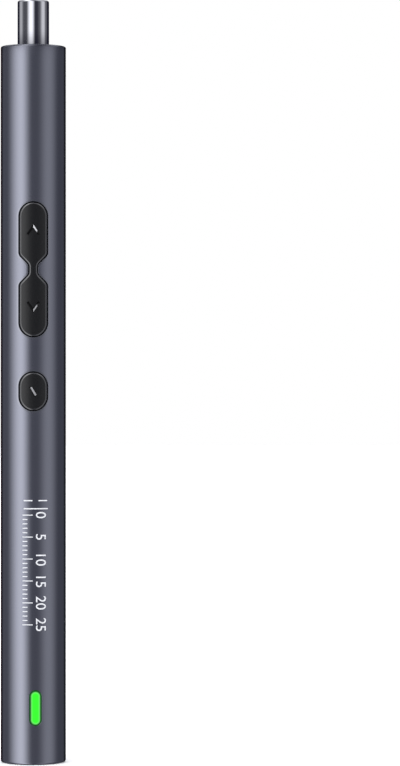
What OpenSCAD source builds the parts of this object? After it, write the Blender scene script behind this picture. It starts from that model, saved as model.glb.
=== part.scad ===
// Pen-shaped electric precision screwdriver.
// The tool's axis is Z, with the tail on Z = 0 and the bit socket at the top. The keys face -Y.

/* [Body] */
// Outside diameter of the body tube
body_d = 15; // [14.8:0.1:15.6]
// Length of the body tube, from the tail rim to the front rim
body_len = 164.4; // [162:0.4:172]
// Wall thickness of the body tube
wall = 0.8; // [0.7:0.05:0.9]
// Rounding of the body tube's front rim
front_edge = 0.35; // [0.1:0.05:0.5]
// Rounding of the body tube's tail rim
tail_edge = 0.6; // [0.1:0.05:0.65]
// Radial gap of the pieces that are pressed into the body tube
press_gap = 0.03; // [0.02:0.01:0.05]

/* [Bit socket] */
// Outside diameter of the bit socket
nose_d = 7.25; // [6.8:0.05:8]
// How far the bit socket stands out of the body tube
nose_out = 10.6; // [9:0.2:13]
// Rounding of the bit socket's rim
nose_edge = 0.45; // [0.1:0.05:0.6]
// Width across the flats of the hexagonal hole
hex_af = 4.05; // [4:0.05:4.4]
// Depth of the hexagonal hole
hex_depth = 9; // [7:0.5:9.5]
// Diameter of the spindle journal in its bush
journal_d = 5.4; // [5:0.1:5.6]
// Length of the magnet under the hexagonal hole
magnet_len = 2; // [1:0.5:2.5]

/* [Front end] */
// Thickness of the front cap
cap_t = 3.4; // [3:0.1:4]
// How far the front cap lies below the tube's front rim
cap_recess = 0.25; // [0.1:0.05:0.4]
// Thickness of the thrust washer under the bit socket
washer_t = 0.3; // [0.2:0.05:0.4]
// Wall of the spindle bush
bush_wall = 0.9; // [0.7:0.05:1]
// Radial running clearance of shafts and pins
run_gap = 0.03; // [0.02:0.01:0.05]

/* [Keys] */
// Width of the key openings in the body tube
key_w = 6.76; // [6.4:0.02:7]
// Length of the hourglass opening
twin_len = 31; // [29:0.1:32]
// Width of the hourglass opening at its waist
waist_w = 2.3; // [2:0.1:2.8]
// Half length of the straight part of the waist
waist_half = 0.5; // [0.4:0.1:0.8]
// Outer rounding where a lobe turns towards the waist
lobe_r = 1.6; // [1.2:0.1:2]
// Inner rounding at the waist
waist_r = 1.3; // [1:0.1:1.6]
// Length of the mode key's opening
mode_len = 9.1; // [8:0.1:11]
// Distance from the front rim to the middle of the waist
twin_from_front = 51.4; // [50.6:0.2:53]
// Distance from the front rim to the middle of the mode key
mode_from_front = 79.2; // [78:0.2:82]
// Gap between a key and its opening
key_gap = 0.18; // [0.12:0.01:0.2]
// Height of the keys above the tube's surface
key_proud = 0.2; // [0:0.05:0.25]
// Depth of a key's moulding under the tube's bore
key_depth = 0.6; // [0.5:0.05:0.7]
// How far the keys' flanges reach under the tube's wall
key_flange = 0.5; // [0.4:0.05:0.6]
// Distance from the middle of the waist to each flexing line
flex_from_waist = 1; // [0.8:0.05:1.2]
// Span of the marks' middle lines
mark_len = 2.6; // [2.2:0.1:3]
// Rise of a chevron's middle line
mark_rise = 1.9; // [1.4:0.1:2.2]
// Line width of the marks in the keys
mark_w = 0.5; // [0.4:0.05:0.6]
// Depth of the marks in the keys
mark_depth = 0.25; // [0.1:0.05:0.3]
// Distance from the middle of the waist to each twin key's switch
switch_from_waist = 8.8; // [8:0.1:9.5]
// Distance from the middle of the waist to the forward key's mark
forward_mark = 8.9; // [8:0.1:9.6]
// Distance from the middle of the waist to the reverse key's mark
reverse_mark = 8.4; // [8:0.1:9.6]

/* [Indicator window] */
// Width of the light guide
window_w = 2.45; // [2:0.05:2.6]
// Length of the light guide
window_len = 7.8; // [6:0.1:8]
// Height of the window's middle above the tail
window_z = 13; // [12.5:0.1:14]
// Sideways offset of the window
window_x = 0.5; // [0:0.1:0.6]
// Gap between the light guide and its opening
window_gap = 0.2; // [0.1:0.01:0.25]

/* [Charging socket] */
// Outside width of the socket's shell
usb_w = 8.94; // [8.9:0.02:9]
// Outside height of the socket's shell
usb_h = 3.26; // [3.2:0.02:3.3]
// Sheet thickness of the shell
usb_wall = 0.3; // [0.25:0.05:0.35]
// Length of the shell
usb_len = 7.35; // [7:0.05:7.6]
// How far the shell lies inside the tail
usb_recess = 0.4; // [0.2:0.1:0.6]
// Thickness of the tail cap's disc
tail_t = 2.4; // [2:0.1:2.8]
// Length of the tail cap with its skirt
tail_len = 8; // [7:0.1:8.2]

/* [Boards] */
// Thickness of the circuit boards
board_t = 0.8; // [0.6:0.1:1]
// Height of the control board's front above the axis
board_y = 2.4; // [2.2:0.1:2.6]
// Gap between the boards' edges and the round wall beside them
board_edge_gap = 0.25; // [0.2:0.05:0.4]
// Width of a switch's body
switch_w = 3.2; // [2.8:0.1:3.6]
// Length of a switch's body
switch_len = 4.2; // [3.6:0.1:4.8]
// Height of a switch's body
switch_h = 1.5; // [1.3:0.1:1.6]
// Diameter of a switch's stem
stem_d = 1.8; // [1.4:0.1:2]
// Height of a stem above its switch
stem_h = 0.5; // [0.4:0.05:0.6]

/* [Battery] */
// Radial room between the cell and the chassis wall
cell_room = 0.7; // [0.6:0.05:0.9]
// Room along the axis between the cell and the mode key's opening
cell_to_key = 11.6; // [9:0.2:14]
// Height of the cell's lower end above the tail
cell_z = 24.5; // [24:0.1:25]

/* [Chassis] */
// Wall thickness of the chassis
chassis_wall = 0.8; // [0.7:0.05:0.9]
// Radial gap between the chassis and the tube
chassis_gap = 0.1; // [0.05:0.01:0.15]
// Thickness of the bulkheads
bulkhead_t = 1; // [0.8:0.1:1.1]

/* [Motor] */
// Wall thickness of the chassis sleeve around the motor
sleeve_wall = 0.55; // [0.45:0.05:0.7]
// Length of the motor without its shaft
motor_len = 15.5; // [15:0.1:15.6]
// Wall of the motor's can
can_wall = 0.5; // [0.4:0.05:0.6]
// Diameter of the motor's shaft
shaft_d = 1.2; // [1:0.1:1.3]
// Thickness of the magnets
magnet_t = 0.85; // [0.7:0.05:1]
// Gap between the two magnets
magnet_split = 3.6; // [3:0.1:4.2]
// Radial gap between the armature and the magnets
air_gap = 0.3; // [0.2:0.05:0.4]
// Thickness of the motor's end cap
end_cap_t = 2; // [1.8:0.1:2.2]
// Radius of the motor's bushes
motor_bush_r = 1.9; // [1.7:0.05:2]
// Radius of the commutator
comm_r = 1.3; // [1.1:0.05:1.4]

/* [Gearbox] */
// Wall of the ring gear outside its tooth spaces
ring_wall = 0.97; // [0.9:0.01:1.3]
// Face width of the planets of the first two stages
planet_t = 2.2; // [2:0.05:2.3]
// Face width of the planets of the output stage
output_planet_t = 2.6; // [2.3:0.05:2.7]
// Thickness of the carriers of the first two stages
carrier_t = 0.8; // [0.6:0.05:0.9]
// Thickness of the output carrier
output_carrier_t = 1.2; // [1:0.05:1.3]
// Diameter of the planets' pins
pin_d = 1.2; // [1:0.1:1.3]
// Axial gap between turning pieces
axial_gap = 0.2; // [0.15:0.01:0.25]
// Thinning of each tooth flank
backlash = 0.02; // [0.01:0.005:0.03]

/* [Hidden] */
$fn = 96;
PRESSURE_ANGLE = 20;
SUN_TEETH = 12;
RING_TEETH = 36;
PLANETS = 3;
EPS = 0.01;
ARC_STEPS = 8;
FLANK_STEPS = 4;

// Radii inside the body tube
body_r = body_d / 2;
bore_r = body_r - wall;
press_r = bore_r - press_gap;
chassis_r = bore_r - chassis_gap;
tray_r = chassis_r - chassis_wall;
cell_d = 2 * (tray_r - cell_room);
motor_d = 2 * (chassis_r - sleeve_wall - 0.05);

// Heights of the front end, worked down from the front rim
cap_z1 = body_len - cap_recess;
cap_z0 = cap_z1 - cap_t;
nose_z0 = cap_z1 + washer_t + 0.05;
nose_z1 = body_len + nose_out;
clip_t = 0.4;
clip_z1 = cap_z0 - 0.25;
clip_z0 = clip_z1 - clip_t;
output_plate_z1 = clip_z0 - 0.4;
output_plate_z0 = output_plate_z1 - output_carrier_t;
planet_3_z0 = output_plate_z0 - axial_gap - output_planet_t;
plate_2_z1 = planet_3_z0 - axial_gap;
plate_2_z0 = plate_2_z1 - carrier_t;
planet_2_z0 = plate_2_z0 - axial_gap - planet_t;
plate_1_z1 = planet_2_z0 - axial_gap;
plate_1_z0 = plate_1_z1 - carrier_t;
planet_1_z0 = plate_1_z0 - axial_gap - planet_t;
gearbox_plate_t = 1.1;
gearbox_plate_z0 = planet_1_z0 - axial_gap - gearbox_plate_t;
ring_z0 = gearbox_plate_z0 + gearbox_plate_t;
motor_z1 = gearbox_plate_z0;
motor_z0 = motor_z1 - motor_len;

// Gear radii; the module comes from the room that the ring gear's wall leaves
gear_m = (press_r - ring_wall) / (RING_TEETH / 2 + 1);
planet_teeth = (RING_TEETH - SUN_TEETH) / 2;
sun_pitch_r = gear_m * SUN_TEETH / 2;
planet_pitch_r = gear_m * planet_teeth / 2;
ring_pitch_r = gear_m * RING_TEETH / 2;
orbit_r = sun_pitch_r + planet_pitch_r;
addendum = 0.8 * gear_m;
dedendum = 1.0 * gear_m;
ring_base_r = ring_pitch_r * cos(PRESSURE_ANGLE);
// Below this radius a ring tooth would touch a planet's flank under its base circle
ring_tip_r = sqrt(pow(ring_base_r, 2) + pow(orbit_r * sin(PRESSURE_ANGLE), 2)) + 0.02;
ring_root_r = ring_pitch_r + dedendum;
carrier_r = orbit_r + pin_d / 2 + 0.6;
pin_r = pin_d / 2;

// Keys and switches
twin_z = body_len - twin_from_front;
mode_z = body_len - mode_from_front;
crown_r = body_r + key_proud;
key_in_r = bore_r - 0.1 - key_depth;
flange_out_r = bore_r - 0.1;
hinge_y = -(key_in_r + 0.5);
hinge_gap = 0.1;
hinge_r = 0.3;
hinge_len = waist_w - 2 * key_gap;
stem_y = -(board_y + switch_h + stem_h);
post_gap = 0.05;
post_d = 2.2;
cell_len = mode_z - mode_len / 2 - cell_to_key - cell_z;
board_back = -board_y + board_t;
board_z0 = cell_z + cell_len + 3.3;
board_z1 = motor_z0 - 2;
board_w = 2 * (sqrt(pow(chassis_r, 2) - pow(board_y, 2)) - board_edge_gap);

// Tail end
charge_y = usb_h / 2;
charge_w = 2 * (sqrt(pow(tray_r, 2) - pow(charge_y + board_t, 2)) - board_edge_gap);
charge_z0 = tail_t;
charge_z1 = cell_z - 2.9;
led_h = 0.6;
tongue_t = 0.7;
ribbon_t = 0.2;
ribbon_w = 4;

// ---- Outlines ----

function polar(r, a) = [r * cos(a), r * sin(a)];
function arc(centre, r, from, to) =
    [for (i = [0 : ARC_STEPS]) centre + polar(r, from + (to - from) * i / ARC_STEPS)];
function back_to_front(list) = [for (i = [len(list) - 1 : -1 : 0]) list[i]];
function flip_x(list) = [for (p = back_to_front(list)) [-p[0], p[1]]];
function flip_y(list) = [for (p = back_to_front(list)) [p[0], -p[1]]];

// A slot with round ends, its long side upright
function slot_outline(w, length, grow = 0) =
    let (r = w / 2 + grow, c = (length - w) / 2)
    concat(arc([0, c], r, 0, 180), arc([0, -c], r, 180, 360));

// A quarter of the hourglass, from its waist to its top
function twin_quarter(grow) =
    let (
        half = key_w / 2,
        rise = 2 * cos(45) - 1,
        lobe_z = waist_half + half - waist_w / 2 + (lobe_r + waist_r) * rise
    )
    concat(
        arc([waist_w / 2 + waist_r, waist_half], waist_r - grow, 180, 135),
        arc([half - lobe_r, lobe_z], lobe_r + grow, -45, 0),
        arc([0, twin_len / 2 - half], half + grow, 0, 90)
    );

function twin_outline(grow = 0) =
    let (right = concat(flip_y(twin_quarter(grow)), twin_quarter(grow)))
    concat(right, flip_x(right));

// ---- Gear teeth ----

function involute(a) = tan(a) * 180 / PI - a;
function tooth_half(r, teeth, thin) =
    let (pitch_r = gear_m * teeth / 2, base_r = pitch_r * cos(PRESSURE_ANGLE))
    90 / teeth - thin / pitch_r * 180 / PI
        + involute(PRESSURE_ANGLE) - involute(acos(min(1, base_r / r)));
function tooth(middle, teeth, tip_r, root_r, thin) =
    let (
        base_r = max(root_r, gear_m * teeth / 2 * cos(PRESSURE_ANGLE)),
        steps = [for (i = [0 : FLANK_STEPS]) base_r + (tip_r - base_r) * i / FLANK_STEPS],
        foot = tooth_half(base_r, teeth, thin)
    )
    concat(
        [polar(root_r, middle - foot)],
        [for (r = steps) polar(r, middle - tooth_half(r, teeth, thin))],
        [for (r = back_to_front(steps)) polar(r, middle + tooth_half(r, teeth, thin))],
        [polar(root_r, middle + foot)]
    );
function gear_outline(teeth, tip_r, root_r, thin) =
    [for (k = [0 : teeth - 1]) each tooth(k * 360 / teeth, teeth, tip_r, root_r, thin)];

module gear_blank(teeth, thickness) {
    r = gear_m * teeth / 2;
    linear_extrude(thickness)
        polygon(gear_outline(teeth, r + addendum, r - dedendum, backlash));
}

// ---- Small helpers ----

module tube(z0, z1, r_out, r_in) {
    translate([0, 0, z0]) difference() {
        cylinder(h = z1 - z0, r = r_out);
        translate([0, 0, -EPS]) cylinder(h = z1 - z0 + 2 * EPS, r = r_in);
    }
}

module rod(z0, z1, r) {
    translate([0, 0, z0]) cylinder(h = z1 - z0, r = r);
}

// A box given by its lowest and highest corners
module block(low, high) {
    translate(low) cube(high - low);
}

// An upright outline pushed along Y, from y0 to y1
module through(points, y0, y1, z = 0, x = 0) {
    translate([x, y1, z]) rotate([90, 0, 0]) linear_extrude(y1 - y0) polygon(points);
}

// A round bar along Y, from y0 to y1
module bar_y(y0, y1, r, z = 0, x = 0) {
    translate([x, y1, z]) rotate([90, 0, 0]) cylinder(h = y1 - y0, r = r);
}

// Copies at equal angles around the axis
module around(count = PLANETS, start = 0) {
    for (k = [0 : count - 1]) rotate([0, 0, start + k * 360 / count]) children();
}

// ---- Body ----

module body_tube() {
    color("slategray") difference() {
        rotate_extrude() polygon(concat(
            [[bore_r, 0], [body_r - tail_edge, 0]],
            arc([body_r - tail_edge, tail_edge], tail_edge, -90, 0),
            arc([body_r - front_edge, body_len - front_edge], front_edge, 0, 90),
            [[bore_r, body_len]]
        ));
        through(twin_outline(), -body_d, 0, twin_z);
        through(slot_outline(key_w, mode_len), -body_d, 0, mode_z);
        through(slot_outline(window_w, window_len, window_gap), -body_d, 0, window_z, window_x);
    }
}

lug_deg = 24;
lug_h = 0.8;
lug_in_r = ring_root_r + 0.25;

// Anti-turn lugs between the ring gear and its neighbours; a gap makes their open pockets
module lugs(z0, z1, gap) {
    around(start = 30) intersection() {
        tube(z0, z1, press_r - 0.05 + 2 * gap, lug_in_r - gap);
        rotate([0, 0, -lug_deg / 2]) translate([0, 0, z0])
            cube([body_d, body_d, z1 - z0]);
        rotate([0, 0, lug_deg / 2 - 90]) translate([0, 0, z0])
            cube([body_d, body_d, z1 - z0]);
    }
}

module front_cap() {
    color("slategray") difference() {
        union() {
            rod(cap_z0, cap_z1, press_r);
            lugs(cap_z0 - lug_h, cap_z0 + EPS, 0);
        }
        rod(cap_z0 - EPS, cap_z1 + EPS, journal_d / 2 + run_gap + bush_wall);
    }
}

module spindle_bush() {
    color("peru") tube(cap_z0, cap_z1, journal_d / 2 + run_gap + bush_wall, journal_d / 2 + run_gap);
}

module thrust_washer() {
    color("silver") tube(cap_z1, cap_z1 + washer_t, nose_d / 2 - 0.2, journal_d / 2 + 0.15);
}

module tail_cap() {
    slot_gap = 0.08;
    color("dimgray") difference() {
        union() {
            rod(0, tail_t, press_r);
            tube(tail_t - EPS, tail_len, press_r, press_r - 0.65);
        }
        translate([0, 0, -EPS]) linear_extrude(tail_t + 2 * EPS)
            polygon([for (p = slot_outline(usb_h, usb_w, slot_gap)) [p[1], p[0]]]);
        through(slot_outline(window_w, window_len, window_gap), -body_d, 0, window_z, window_x);
    }
}

// ---- Keys ----

// What a key shows above the bore and hides below it
module key_moulding(outline_in, outline_flange, z) {
    intersection() {
        union() {
            through(outline_in, -body_d, -1, z);
            intersection() {
                through(outline_flange, -body_d, -1, z);
                rod(0, body_len, flange_out_r);
            }
        }
        tube(z - twin_len, z + twin_len, crown_r, key_in_r);
    }
}

module twin_part(z0, z1) {
    intersection() {
        key_moulding(twin_outline(-key_gap), twin_outline(key_flange - key_gap), twin_z);
        block([-body_d, -body_d, twin_z + z0], [body_d, 0, twin_z + z1]);
    }
}

// A shallow groove in a key's face, following the face's curve
module key_mark(outline, z) {
    intersection() {
        through(outline, -body_d, 0, z);
        tube(z - key_w, z + key_w, body_d, crown_r - mark_depth);
    }
}

// A chevron that points to the nose for dir 1 and to the tail for dir -1
function chevron(dir) =
    let (
        w = mark_len / 2,
        h = mark_rise / 2,
        side = norm([w, mark_rise]),
        dx = mark_w / 2 * mark_rise / side,
        dz = mark_w / 2 * w / side,
        tip = mark_w / 2 * side / w
    )
    dir > 0
        ? [[0, h + tip], [-w - dx, dz - h], [dx - w, -h - dz], [0, h - tip], [w - dx, -h - dz], [w + dx, dz - h]]
        : flip_y(chevron(1));

function slant_bar() =
    let (l = mark_len / sqrt(8), t = mark_w / sqrt(8))
    [[-l - t, l - t], [l - t, -l - t], [l + t, -l + t], [-l + t, l + t]];

module key_post(z) {
    bar_y(-key_in_r - 0.3, stem_y - post_gap, post_d / 2, z);
}

// The round knuckle on a twin key's flexing line, or the seat for it in the bridge
module knuckle(side, grow) {
    translate([-hinge_len / 2 - grow, hinge_y, twin_z + side * flex_from_waist]) rotate([0, 90, 0])
        cylinder(h = hinge_len + 2 * grow, r = hinge_r + grow);
}

// side is 1 for the key towards the nose and -1 for the key towards the tail
module twin_key(side) {
    from = flex_from_waist + hinge_gap / 2;
    color("darkslategray") difference() {
        union() {
            if (side > 0) twin_part(from, twin_len);
            else twin_part(-twin_len, -from);
            key_post(twin_z + side * switch_from_waist);
            knuckle(side, 0);
        }
        key_mark(chevron(side), twin_z + (side > 0 ? forward_mark : -reverse_mark));
    }
}

module key_bridge() {
    reach = flex_from_waist - hinge_gap / 2;
    post_w = 1.8;
    color("darkslategray") difference() {
        union() {
            twin_part(-reach, reach);
            block([-post_w / 2, -key_in_r - 0.3, twin_z - reach], [post_w / 2, -board_y, twin_z + reach]);
        }
        for (side = [-1, 1]) knuckle(side, run_gap);
    }
}

module mode_key() {
    color("darkslategray") difference() {
        union() {
            key_moulding(
                slot_outline(key_w, mode_len, -key_gap),
                slot_outline(key_w, mode_len, key_flange - key_gap),
                mode_z
            );
            key_post(mode_z);
        }
        key_mark(slant_bar(), mode_z);
    }
}

module stem(z) {
    color("white") bar_y(stem_y, stem_y + 2 * stem_h, stem_d / 2, z);
}

module switch_body(z) {
    difference() {
        block(
            [-switch_w / 2, -board_y - switch_h, z - switch_len / 2],
            [switch_w / 2, -board_y, z + switch_len / 2]
        );
        bar_y(-board_y - switch_h - EPS, -board_y - 0.1, stem_d / 2 + 0.05, z);
    }
}

module switch_bodies() {
    color("silver") {
        switch_body(twin_z + switch_from_waist);
        switch_body(twin_z - switch_from_waist);
        switch_body(mode_z);
    }
}

// ---- Indicator and charging socket ----

module light_guide() {
    pocket = 0.1;
    color("limegreen") difference() {
        union() {
            intersection() {
                through(slot_outline(window_w, window_len), -body_d, charge_y, window_z, window_x);
                rod(0, body_len, body_r);
            }
            intersection() {
                through(slot_outline(window_w, window_len, 0.45), -body_d, -2, window_z, window_x);
                tube(tail_len, window_z + window_len, bore_r - 0.05, bore_r - 0.6);
            }
        }
        block(
            [window_x - 0.8 - pocket, charge_y - led_h - pocket, window_z - 0.8 - pocket],
            [window_x + 0.8 + pocket, charge_y + EPS, window_z + 0.8 + pocket]
        );
    }
}

module status_led() {
    color("palegreen")
        block([window_x - 0.8, charge_y - led_h, window_z - 0.8], [window_x + 0.8, charge_y, window_z + 0.8]);
}

function usb_outline(shrink) =
    [for (p = slot_outline(usb_h, usb_w, -shrink)) [p[1], p[0]]];

module usb_shell() {
    color("silver") translate([0, 0, usb_recess]) difference() {
        linear_extrude(usb_len) polygon(usb_outline(0));
        translate([0, 0, -EPS]) linear_extrude(usb_len + 2 * EPS) polygon(usb_outline(usb_wall));
    }
}

module usb_tongue() {
    base_t = 1.4;
    fit = 0.02;
    z1 = usb_recess + usb_len;
    color("dimgray") union() {
        translate([0, 0, z1 - base_t]) linear_extrude(base_t) polygon(usb_outline(usb_wall + fit));
        block([-3.35, -tongue_t / 2, usb_recess + 0.8], [3.35, tongue_t / 2, z1 - base_t + EPS]);
    }
}

module usb_contacts() {
    count = 12;
    pitch = 0.5;
    pad_w = 0.28;
    pad_t = 0.04;
    z0 = usb_recess + 1.2;
    color("gold") for (side = [-1, 1], i = [0 : count - 1]) {
        x = (i - (count - 1) / 2) * pitch;
        y = side * (tongue_t / 2 + pad_t / 2);
        block([x - pad_w / 2, y - pad_t / 2, z0], [x + pad_w / 2, y + pad_t / 2, z0 + 3.4]);
    }
}

module charge_board() {
    color("darkgreen") difference() {
        block([-charge_w / 2, charge_y, charge_z0], [charge_w / 2, charge_y + board_t, charge_z1]);
        for (side = [-1, 1]) bar_y(charge_y - EPS, charge_y + board_t + EPS, 0.5, charge_z1 - 1.2, side * 3.6);
    }
}

module charge_parts() {
    y = charge_y + board_t;
    color("black") {
        block([-2, y, 9], [2, y + 1, 13]);
        block([-3.6, y, 14.4], [-2.2, y + 0.7, 15.2]);
        block([-1.4, y, 14.4], [-0.6, y + 0.5, 16]);
        block([0.6, y, 14.4], [2.6, y + 0.8, 15.6]);
        block([-3.4, y, 4.6], [-1.8, y + 0.6, 5.4]);
        block([1.8, y, 4.6], [3.4, y + 0.6, 5.4]);
    }
}

// ---- Battery and boards ----

module battery_cell() {
    r = cell_d / 2;
    cap_r = r * 0.38;
    color("royalblue") translate([0, 0, cell_z]) rotate_extrude() polygon([
        [0, 0.15], [r - 1.4, 0.15], [r - 1.1, 0], [r - 0.4, 0], [r, 0.4],
        [r, cell_len - 3.4], [r - 0.45, cell_len - 3], [r - 0.45, cell_len - 2.6], [r, cell_len - 2.2],
        [r, cell_len - 1.2], [r - 0.5, cell_len - 0.8], [cap_r, cell_len - 0.8],
        [cap_r, cell_len], [0, cell_len]
    ]);
}

tab_w = 3;
tab_t = 0.15;

// The strips that join the cell's two ends to the boards
module battery_tabs() {
    low = cell_z - tab_t;
    high = cell_z + cell_len;
    color("silver") {
        union() {
            block([-tab_w / 2, -3, low], [tab_w / 2, charge_y, low + tab_t]);
            block([-tab_w / 2, charge_y - tab_t, charge_z1 - 1.5], [tab_w / 2, charge_y, low + tab_t]);
        }
        union() {
            block([-tab_w / 2, board_back, high], [tab_w / 2, 3, high + tab_t]);
            block([-tab_w / 2, board_back, high], [tab_w / 2, board_back + tab_t, board_z0 + 1.5]);
        }
    }
}

// The flat cable behind the cell, between the two boards
module link_ribbon() {
    run_y = cell_d / 2 + 0.25;
    start_z = charge_z1 - 3.4;
    end_z = board_z0 + 3.8;
    from_y = charge_y + board_t;
    t = ribbon_t;
    color("goldenrod") translate([-ribbon_w / 2, 0, 0]) rotate([90, 0, 90]) linear_extrude(ribbon_w) polygon([
        [from_y, start_z], [from_y + t, start_z], [from_y + t, charge_z1 - 1.9], [run_y + t, charge_z1 + 0.6],
        [run_y + t, board_z0 - 1], [board_back + t, end_z - 1.5], [board_back + t, end_z],
        [board_back, end_z], [board_back, end_z - 1.6], [run_y, board_z0 - 1.1],
        [run_y, charge_z1 + 0.7], [from_y, charge_z1 - 1.8]
    ]);
}

screw_z = [board_z0 + 4.5, board_z1 - 4];
screw_x = board_w / 2 - 1.5;

module control_board() {
    color("darkgreen") difference() {
        block([-board_w / 2, -board_y, board_z0], [board_w / 2, board_back, board_z1]);
        for (z = screw_z) bar_y(-board_y - EPS, board_back + EPS, 0.8, z, screw_x);
    }
}

module control_parts() {
    front = -board_y;
    driver_z = (twin_z - switch_from_waist + mode_z) / 2;
    coil_z = twin_z - switch_from_waist;
    color("black") {
        block([-2, front - 0.85, driver_z - 2], [2, front, driver_z + 2]);
        block([-4.6, front - 0.6, mode_z - 3.6], [-3.2, front, mode_z - 2.8]);
        block([3.2, front - 0.6, mode_z + 1], [4.8, front, mode_z + 1.8]);
        block([-2.2, board_back, coil_z - 2.2], [2.2, board_back + 1.4, coil_z + 2.2]);
        block([-2.5, board_back, mode_z - 2], [2.5, board_back + 2.8, mode_z + 3]);
        block([-1.8, board_back, twin_z + 3], [1.8, board_back + 1.4, twin_z + 6.6]);
    }
}

// A pan-head screw along Y, its head's underside on the plane y0
module board_screw(x, z, y0) {
    bar_y(y0 - 0.6, y0, 1.2, z, x);
    bar_y(y0 - EPS, y0 + 3.4, 0.6, z, x);
}

module board_screws() {
    color("silver") for (z = screw_z) difference() {
        board_screw(screw_x, z, -board_y);
        block([screw_x - 0.8, -board_y - 1, z - 0.12], [screw_x + 0.8, -board_y - 0.3, z + 0.12]);
        block([screw_x - 0.12, -board_y - 1, z - 0.8], [screw_x + 0.12, -board_y - 0.3, z + 0.8]);
    }
}

// ---- Chassis ----

module half_space_back(z0, z1) {
    block([-body_d, board_back, z0], [body_d, body_d, z1]);
}

module chassis() {
    tray_z0 = tail_len + 0.3;
    sleeve_z0 = motor_z0 - 1.7;
    sleeve_z1 = motor_z0 + 9;
    cradle_z = [cell_z + 5, cell_z + cell_len / 2, cell_z + cell_len - 7];
    bulkhead_z = [charge_z1 + 0.7, cell_z + cell_len + 0.5];
    color("gainsboro") difference() {
        union() {
            intersection() {
                tube(tray_z0, sleeve_z0 + EPS, chassis_r, tray_r);
                half_space_back(0, body_len);
            }
            tube(sleeve_z0, sleeve_z1, chassis_r, motor_d / 2 + 0.05);
            for (z = cradle_z) intersection() {
                tube(z, z + 1, tray_r + 0.2, cell_d / 2 + 0.05);
                half_space_back(0, body_len);
            }
            for (z = bulkhead_z) intersection() {
                rod(z, z + bulkhead_t, tray_r + 0.2);
                half_space_back(0, body_len);
            }
            for (side = [-1, 1]) intersection() {
                block([side * 4.9 - 0.5, charge_y + board_t, tray_z0], [side * 4.9 + 0.5, 5, charge_z1]);
                rod(0, body_len, tray_r + 0.2);
            }
            for (z = screw_z) intersection() {
                bar_y(board_back, body_d, 1.3, z, screw_x);
                rod(0, body_len, tray_r + 0.2);
            }
        }
        // Room for the ribbon and the tabs through the bulkheads and cradles
        block([-ribbon_w / 2 - 0.3, cell_d / 2 + 0.1, tray_z0 - 1], [ribbon_w / 2 + 0.3, tray_r, board_z0 + 6]);
        block([-tab_w / 2 - 0.3, charge_y - 0.6, bulkhead_z[0] - 1], [tab_w / 2 + 0.3, charge_y + 0.6, cell_z]);
        block([-tab_w / 2 - 0.3, board_back - 1, bulkhead_z[1] - 1], [tab_w / 2 + 0.3, board_back + 0.6, board_z0]);
        for (z = screw_z) bar_y(board_back - EPS, board_back + 3.6, 0.62, z, screw_x);
        // Clearance for the ribbon's slanting ends
        block([-ribbon_w / 2 - 0.3, charge_y + board_t + 0.1, bulkhead_z[0] - EPS],
              [ribbon_w / 2 + 0.3, tray_r, bulkhead_z[0] + bulkhead_t + EPS]);
    }
}

module battery_cover() {
    z0 = cell_z - 0.2;
    z1 = cell_z + cell_len - 0.3;
    color("gainsboro") intersection() {
        union() {
            tube(z0, z1, chassis_r, tray_r);
            for (z = [z0 + 5, (z0 + z1) / 2, z1 - 8]) tube(z, z + 1, tray_r + 0.2, cell_d / 2 + 0.05);
        }
        block([-body_d, -body_d, z0], [body_d, board_back - 0.05, z1]);
    }
}

// ---- Motor ----

front_wall_t = 0.7;
can_z0 = motor_z0 + end_cap_t;
magnet_r = motor_d / 2 - can_wall;
core_r = magnet_r - magnet_t - air_gap;
core_z0 = can_z0 + 3.8;
core_z1 = motor_z1 - 3.3;
motor_screw_r = (motor_bush_r + motor_d / 2) / 2;
brush_x = motor_bush_r + 1.5;

module motor_can() {
    color("silver") difference() {
        union() {
            tube(can_z0, motor_z1, motor_d / 2, magnet_r);
            rod(motor_z1 - front_wall_t, motor_z1, magnet_r + 0.2);
        }
        rod(motor_z1 - 1, motor_z1 + 1, motor_bush_r);
        for (side = [-1, 1]) translate([side * motor_screw_r, 0, motor_z1 - 1]) cylinder(h = 2, r = 0.72);
    }
}

module motor_end_cap() {
    color("ivory") difference() {
        union() {
            rod(motor_z0, can_z0, motor_d / 2);
            rod(can_z0 - EPS, can_z0 + 0.6, magnet_r - 0.05);
        }
        rod(motor_z0 + 0.5, can_z0 + 1, motor_bush_r);
        for (side = [-1, 1])
            block([side * brush_x - 0.4, -0.15, motor_z0 - 1], [side * brush_x + 0.4, 0.15, can_z0 + 1]);
    }
}

module motor_magnets() {
    over = magnet_t;
    color("dimgray") difference() {
        tube(core_z0 - over, core_z1 + over, magnet_r, magnet_r - magnet_t);
        block([-body_d, -magnet_split / 2, core_z0 - 2 * over], [body_d, magnet_split / 2, core_z1 + 2 * over]);
    }
}

// A brush leaf on each side of the commutator, with its tab out of the end cap
module motor_brushes() {
    color("goldenrod") for (side = [-1, 1]) union() {
        block([side * brush_x - 0.3, -0.1, motor_z0 - 1.2], [side * brush_x + 0.3, 0.1, can_z0 + 2.2]);
        block(
            [side > 0 ? comm_r + 0.05 : -brush_x, -0.1, can_z0 + 1.2],
            [side > 0 ? brush_x : -comm_r - 0.05, 0.1, can_z0 + 2.2]
        );
    }
}

module motor_bushes() {
    bore = shaft_d / 2 + run_gap;
    color("peru") {
        tube(motor_z1 - 1.3, motor_z1 + 0.6, motor_bush_r - 0.02, bore);
        tube(motor_z0 + 0.52, can_z0 + 0.6, motor_bush_r - 0.02, bore);
    }
}

// The two leads from the brush tabs to the back of the control board
module motor_leads() {
    lead_r = 0.35;
    for (side = [-1, 1]) {
        x = side * brush_x;
        path = [[x, 0.5, motor_z0 - 0.9], [x, 0.9, motor_z0 - 1.6], [x, 0.2, board_z1 - 1.6], [x, board_back, board_z1 - 1.8]];
        color(side > 0 ? "firebrick" : "black") lead(path, lead_r);
    }
}

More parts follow.
